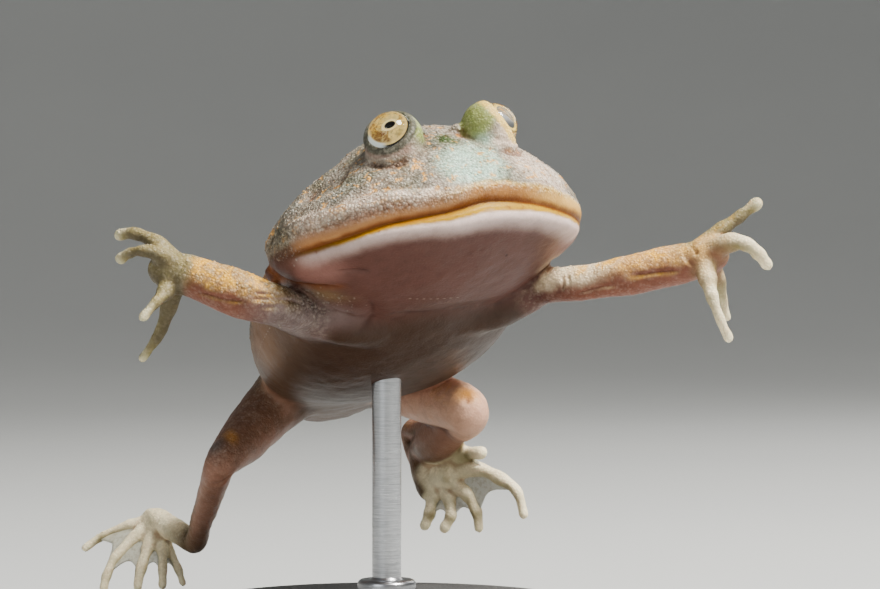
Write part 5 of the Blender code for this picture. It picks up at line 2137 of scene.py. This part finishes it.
@dataclass
class Stand:
    """The plain display stand: a round base, a collar and one rod up to the belly."""

    base_radius: float = 36.0
    base_height: float = 5.0
    base_chamfer: float = 0.4
    worn_width: float = 2.5
    worn_depth: float = 1.4
    bevel: float = 0.8
    rod_radius: float = 2.5
    rod_foot: tuple[float, float] = (0.3, 0.4)
    rod_sink: float = 0.4
    collar_radius: float = 5.0
    collar_height: float = 4.0
    collar_inset: float = 0.2
    groove_heights: tuple[float, ...] = (1.6, 1.9, 2.2, 2.5)
    groove_depths: tuple[float, ...] = (0.0, 0.35, 0.35, 0.0)
    gap: float = 0.3
    sides: int = 128
    sharp_angle: float = 35.0

    def turned(self, name: str, profile: Profile) -> Object:
        """Makes an upright turned piece.

        Args:
            name: The object's name.
            profile: Pairs of radius and height, bottom first.

        Returns:
            The object.
        """
        turn = 2 * math.pi * np.arange(self.sides) / self.sides
        rings = []
        for r, h in profile:
            rings.append(np.stack((np.cos(turn) * r, np.sin(turn) * r, np.full(self.sides, h)), axis=1) * MM)
        return Form.lofted(np.array(rings)).made(name)

    def rounded(self, radius: float, height: float, steps: int = 6) -> list[tuple[float, float]]:
        """A rounded upper edge, from the side to the top."""
        turns = np.linspace(0, math.pi / 2, steps)
        return [(radius - self.bevel * (1 - math.cos(a)), height - self.bevel * (1 - math.sin(a))) for a in turns]

    def base(self, paint: Material) -> Object:
        """Makes the base, and marks where its edge is worn.

        Args:
            paint: The base's material.

        Returns:
            The base's object.
        """
        low = [(self.base_radius - self.base_chamfer, 0.0), (self.base_radius, self.base_chamfer)]
        base = self.turned("base", [*low, *self.rounded(self.base_radius, self.base_height)])
        height = np.array([v.co.z for v in base.data.vertices]) / MM
        wide = np.array([v.co.xy.length for v in base.data.vertices]) / MM
        worn = smooth_step(self.base_height - self.worn_depth, self.base_height - 0.2, height)
        worn *= smooth_step(self.base_radius - self.worn_width, self.base_radius - 0.5, wide)
        keep_numbers(base.data, "edge", worn)
        return finished(base, paint, self.sharp_angle)

    def rod(self, steel: Material) -> Object:
        """Makes the rod with its collar.

        Args:
            steel: The rod's material.

        Returns:
            The rod's object.
        """
        foot = self.base_height + self.gap
        shoulder = foot + self.collar_height
        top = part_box("stand_rod")[1].z / MM + self.rod_sink
        inset = self.collar_radius - self.collar_inset
        profile = [(inset, self.base_height), (inset, foot), (self.collar_radius, foot)]
        for height, depth in zip(self.groove_heights, self.groove_depths):
            profile.append((self.collar_radius - depth, foot + height))
        profile += self.rounded(self.collar_radius, shoulder)
        wider, higher = self.rod_foot
        profile += [(self.rod_radius + wider, shoulder), (self.rod_radius, shoulder + higher), (self.rod_radius, top)]
        return finished(self.turned("rod", profile), steel, self.sharp_angle)


# The floor from its middle outwards and up, as pairs of radius and height in metres.
FLOOR_PROFILE: Profile = (
    (0.001, 0.0), (0.6, 0.0), (1.0, 0.01), (1.35, 0.06), (1.65, 0.18), (1.9, 0.4), (2.05, 0.75), (2.1, 1.3), (2.1, 2.2)
)


@dataclass
class Studio:
    """The pale floor, the soft lights and the camera."""

    turn: float = -19.0
    distance: float = 450.0
    lens: float = 110.4
    film: float = 36.0
    sight: tuple[float, float] = (3.17, -9.42)
    floor_sides: int = 96
    floor_drop: float = 0.0002
    sky: Tint = (0.9, 0.94, 1.0, 1.0)
    sky_strength: float = 0.14

    def camera(self) -> None:
        """Sets the camera where the photograph was taken from."""
        turn = math.radians(self.turn)
        right = np.array((math.cos(turn), math.sin(turn), 0.0))
        ahead = np.array((-math.sin(turn), math.cos(turn), 0.0))
        target = np.array(JAW.origin) + right * self.sight[0] + np.array((0, 0, self.sight[1]))
        data = bpy.data.cameras.new("camera")
        data.lens, data.sensor_width = self.lens, self.film
        data.clip_start, data.clip_end = 0.01, 20.0
        obj = bpy.data.objects.new("camera", data)
        obj.location = (target - ahead * self.distance) * MM
        obj.rotation_euler = (math.radians(90), 0.0, turn)
        bpy.context.scene.collection.objects.link(obj)
        bpy.context.scene.camera = obj

    def floor(self) -> None:
        """Makes the floor, which curves up far behind into a backdrop on every side."""
        sides, rows = self.floor_sides, spline(FLOOR_PROFILE, 6)
        turn = 2 * math.pi * np.arange(sides) / sides
        points = np.array([[(math.cos(a) * r, math.sin(a) * r, h - self.floor_drop) for a in turn] for r, h in rows])
        faces = []
        for k in range(len(rows) - 1):
            for i in range(sides):
                j = (i + 1) % sides
                faces.append((k * sides + i, k * sides + j, (k + 1) * sides + j, (k + 1) * sides + i))
        faces.append(tuple(range(sides - 1, -1, -1)))
        floor = new_object("floor", points.reshape(-1, 3), faces)
        material, graph, shader = material_graph("floor_paper")
        tone = graph.noise(graph.place(), 6.0, 3.0)
        colour = graph.mix(tone, linear(184, 186, 186), linear(190, 192, 191))
        graph.feed(shader, {"Base Color": colour, "Roughness": 0.9})
        finished(floor, material)

    def light(self, name: str, place: Point, size: float, power: float, colour: Point) -> None:
        """Hangs one soft lamp that points at the frog.

        Args:
            name: The lamp's name.
            place: Where it hangs, in metres from the jaw.
            size: How wide it is, in metres.
            power: How strong it is, in watts.
            colour: Its colour.
        """
        data = bpy.data.lights.new(name, "AREA")
        data.size, data.energy, data.color = size, power, colour
        obj = bpy.data.objects.new(name, data)
        obj.location = Vector(JAW.origin) * MM + Vector(place)
        obj.rotation_euler = (-Vector(place)).to_track_quat("-Z", "Y").to_euler()
        bpy.context.scene.collection.objects.link(obj)

    def build(self) -> None:
        """Sets the whole studio."""
        self.camera()
        self.floor()
        self.light("key", (0.3, -0.32, 0.64), 0.28, 23.0, (1.0, 0.97, 0.91))
        self.light("fill", (-0.7, -0.5, 0.3), 0.5, 2.1, (0.92, 0.96, 1.0))
        self.light("rim", (0.6, 0.5, 0.35), 0.4, 1.4, (1.0, 0.98, 0.95))
        world = bpy.data.worlds.new("world")
        world.use_nodes = True
        background = world.node_tree.nodes["Background"]
        background.inputs["Color"].default_value = self.sky
        background.inputs["Strength"].default_value = self.sky_strength
        bpy.context.scene.world = world


SIDES = ("left", "right")
LIMB_PARTS = ("upper_arm", "forearm", "hand", "thigh", "shank", "tarsus", "foot")
FLESH_NODES = ("head", "torso", *(f"{part}_{side}" for part in LIMB_PARTS for side in SIDES))


def stand_for(piece: Object, slot: str, *nodes: str) -> None:
    """Sets a piece in the place of CAD nodes.

    Args:
        piece: The finished piece.
        slot: A material slot's name, which is not used.
        nodes: The nodes that it stands for, if any.
    """
    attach(piece, BODY)
    if nodes:
        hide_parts(*nodes)


def main() -> None:
    """Builds the dressed frog, its stand and the studio."""
    logging.basicConfig(level=logging.INFO, format="%(message)s")
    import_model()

    finish = SkinFinish().made()
    frog = Frog()
    skin = frog.build(finish)
    granules = Granules().build(skin, finish)
    stitches = LateralLines().build(skin, finish)
    stand_for(skin, "skin", *FLESH_NODES)
    stand_for(granules, "skin")
    stand_for(stitches, "skin")
    web_finish = WebFinish().made()
    for name, foot in (("webs_right", FOOT_RIGHT), ("webs_left", FOOT_LEFT)):
        stand_for(Webs().build(name, foot, web_finish), "skin")
    iris, cornea = IrisFinish().made(), CorneaFinish().made()
    left_eye = Eye(1, frog.sockets, 76.0, 25.0, 1.85, 0.35)
    right_eye = Eye(-1, frog.sockets, 38.0, 30.0)
    for word, eye in zip(SIDES, (left_eye, right_eye)):
        globe, lens = eye.build(iris, cornea)
        stand_for(globe, "eye", "eye_" + word)
        stand_for(lens, "eye")
    stand = Stand()
    stand_for(stand.base(BaseFinish().made()), "stand_base", "stand_base")
    stand_for(stand.rod(SteelFinish().made()), "stand_rod", "stand_rod")
    Studio().build()


if __name__ == "__main__":
    main()
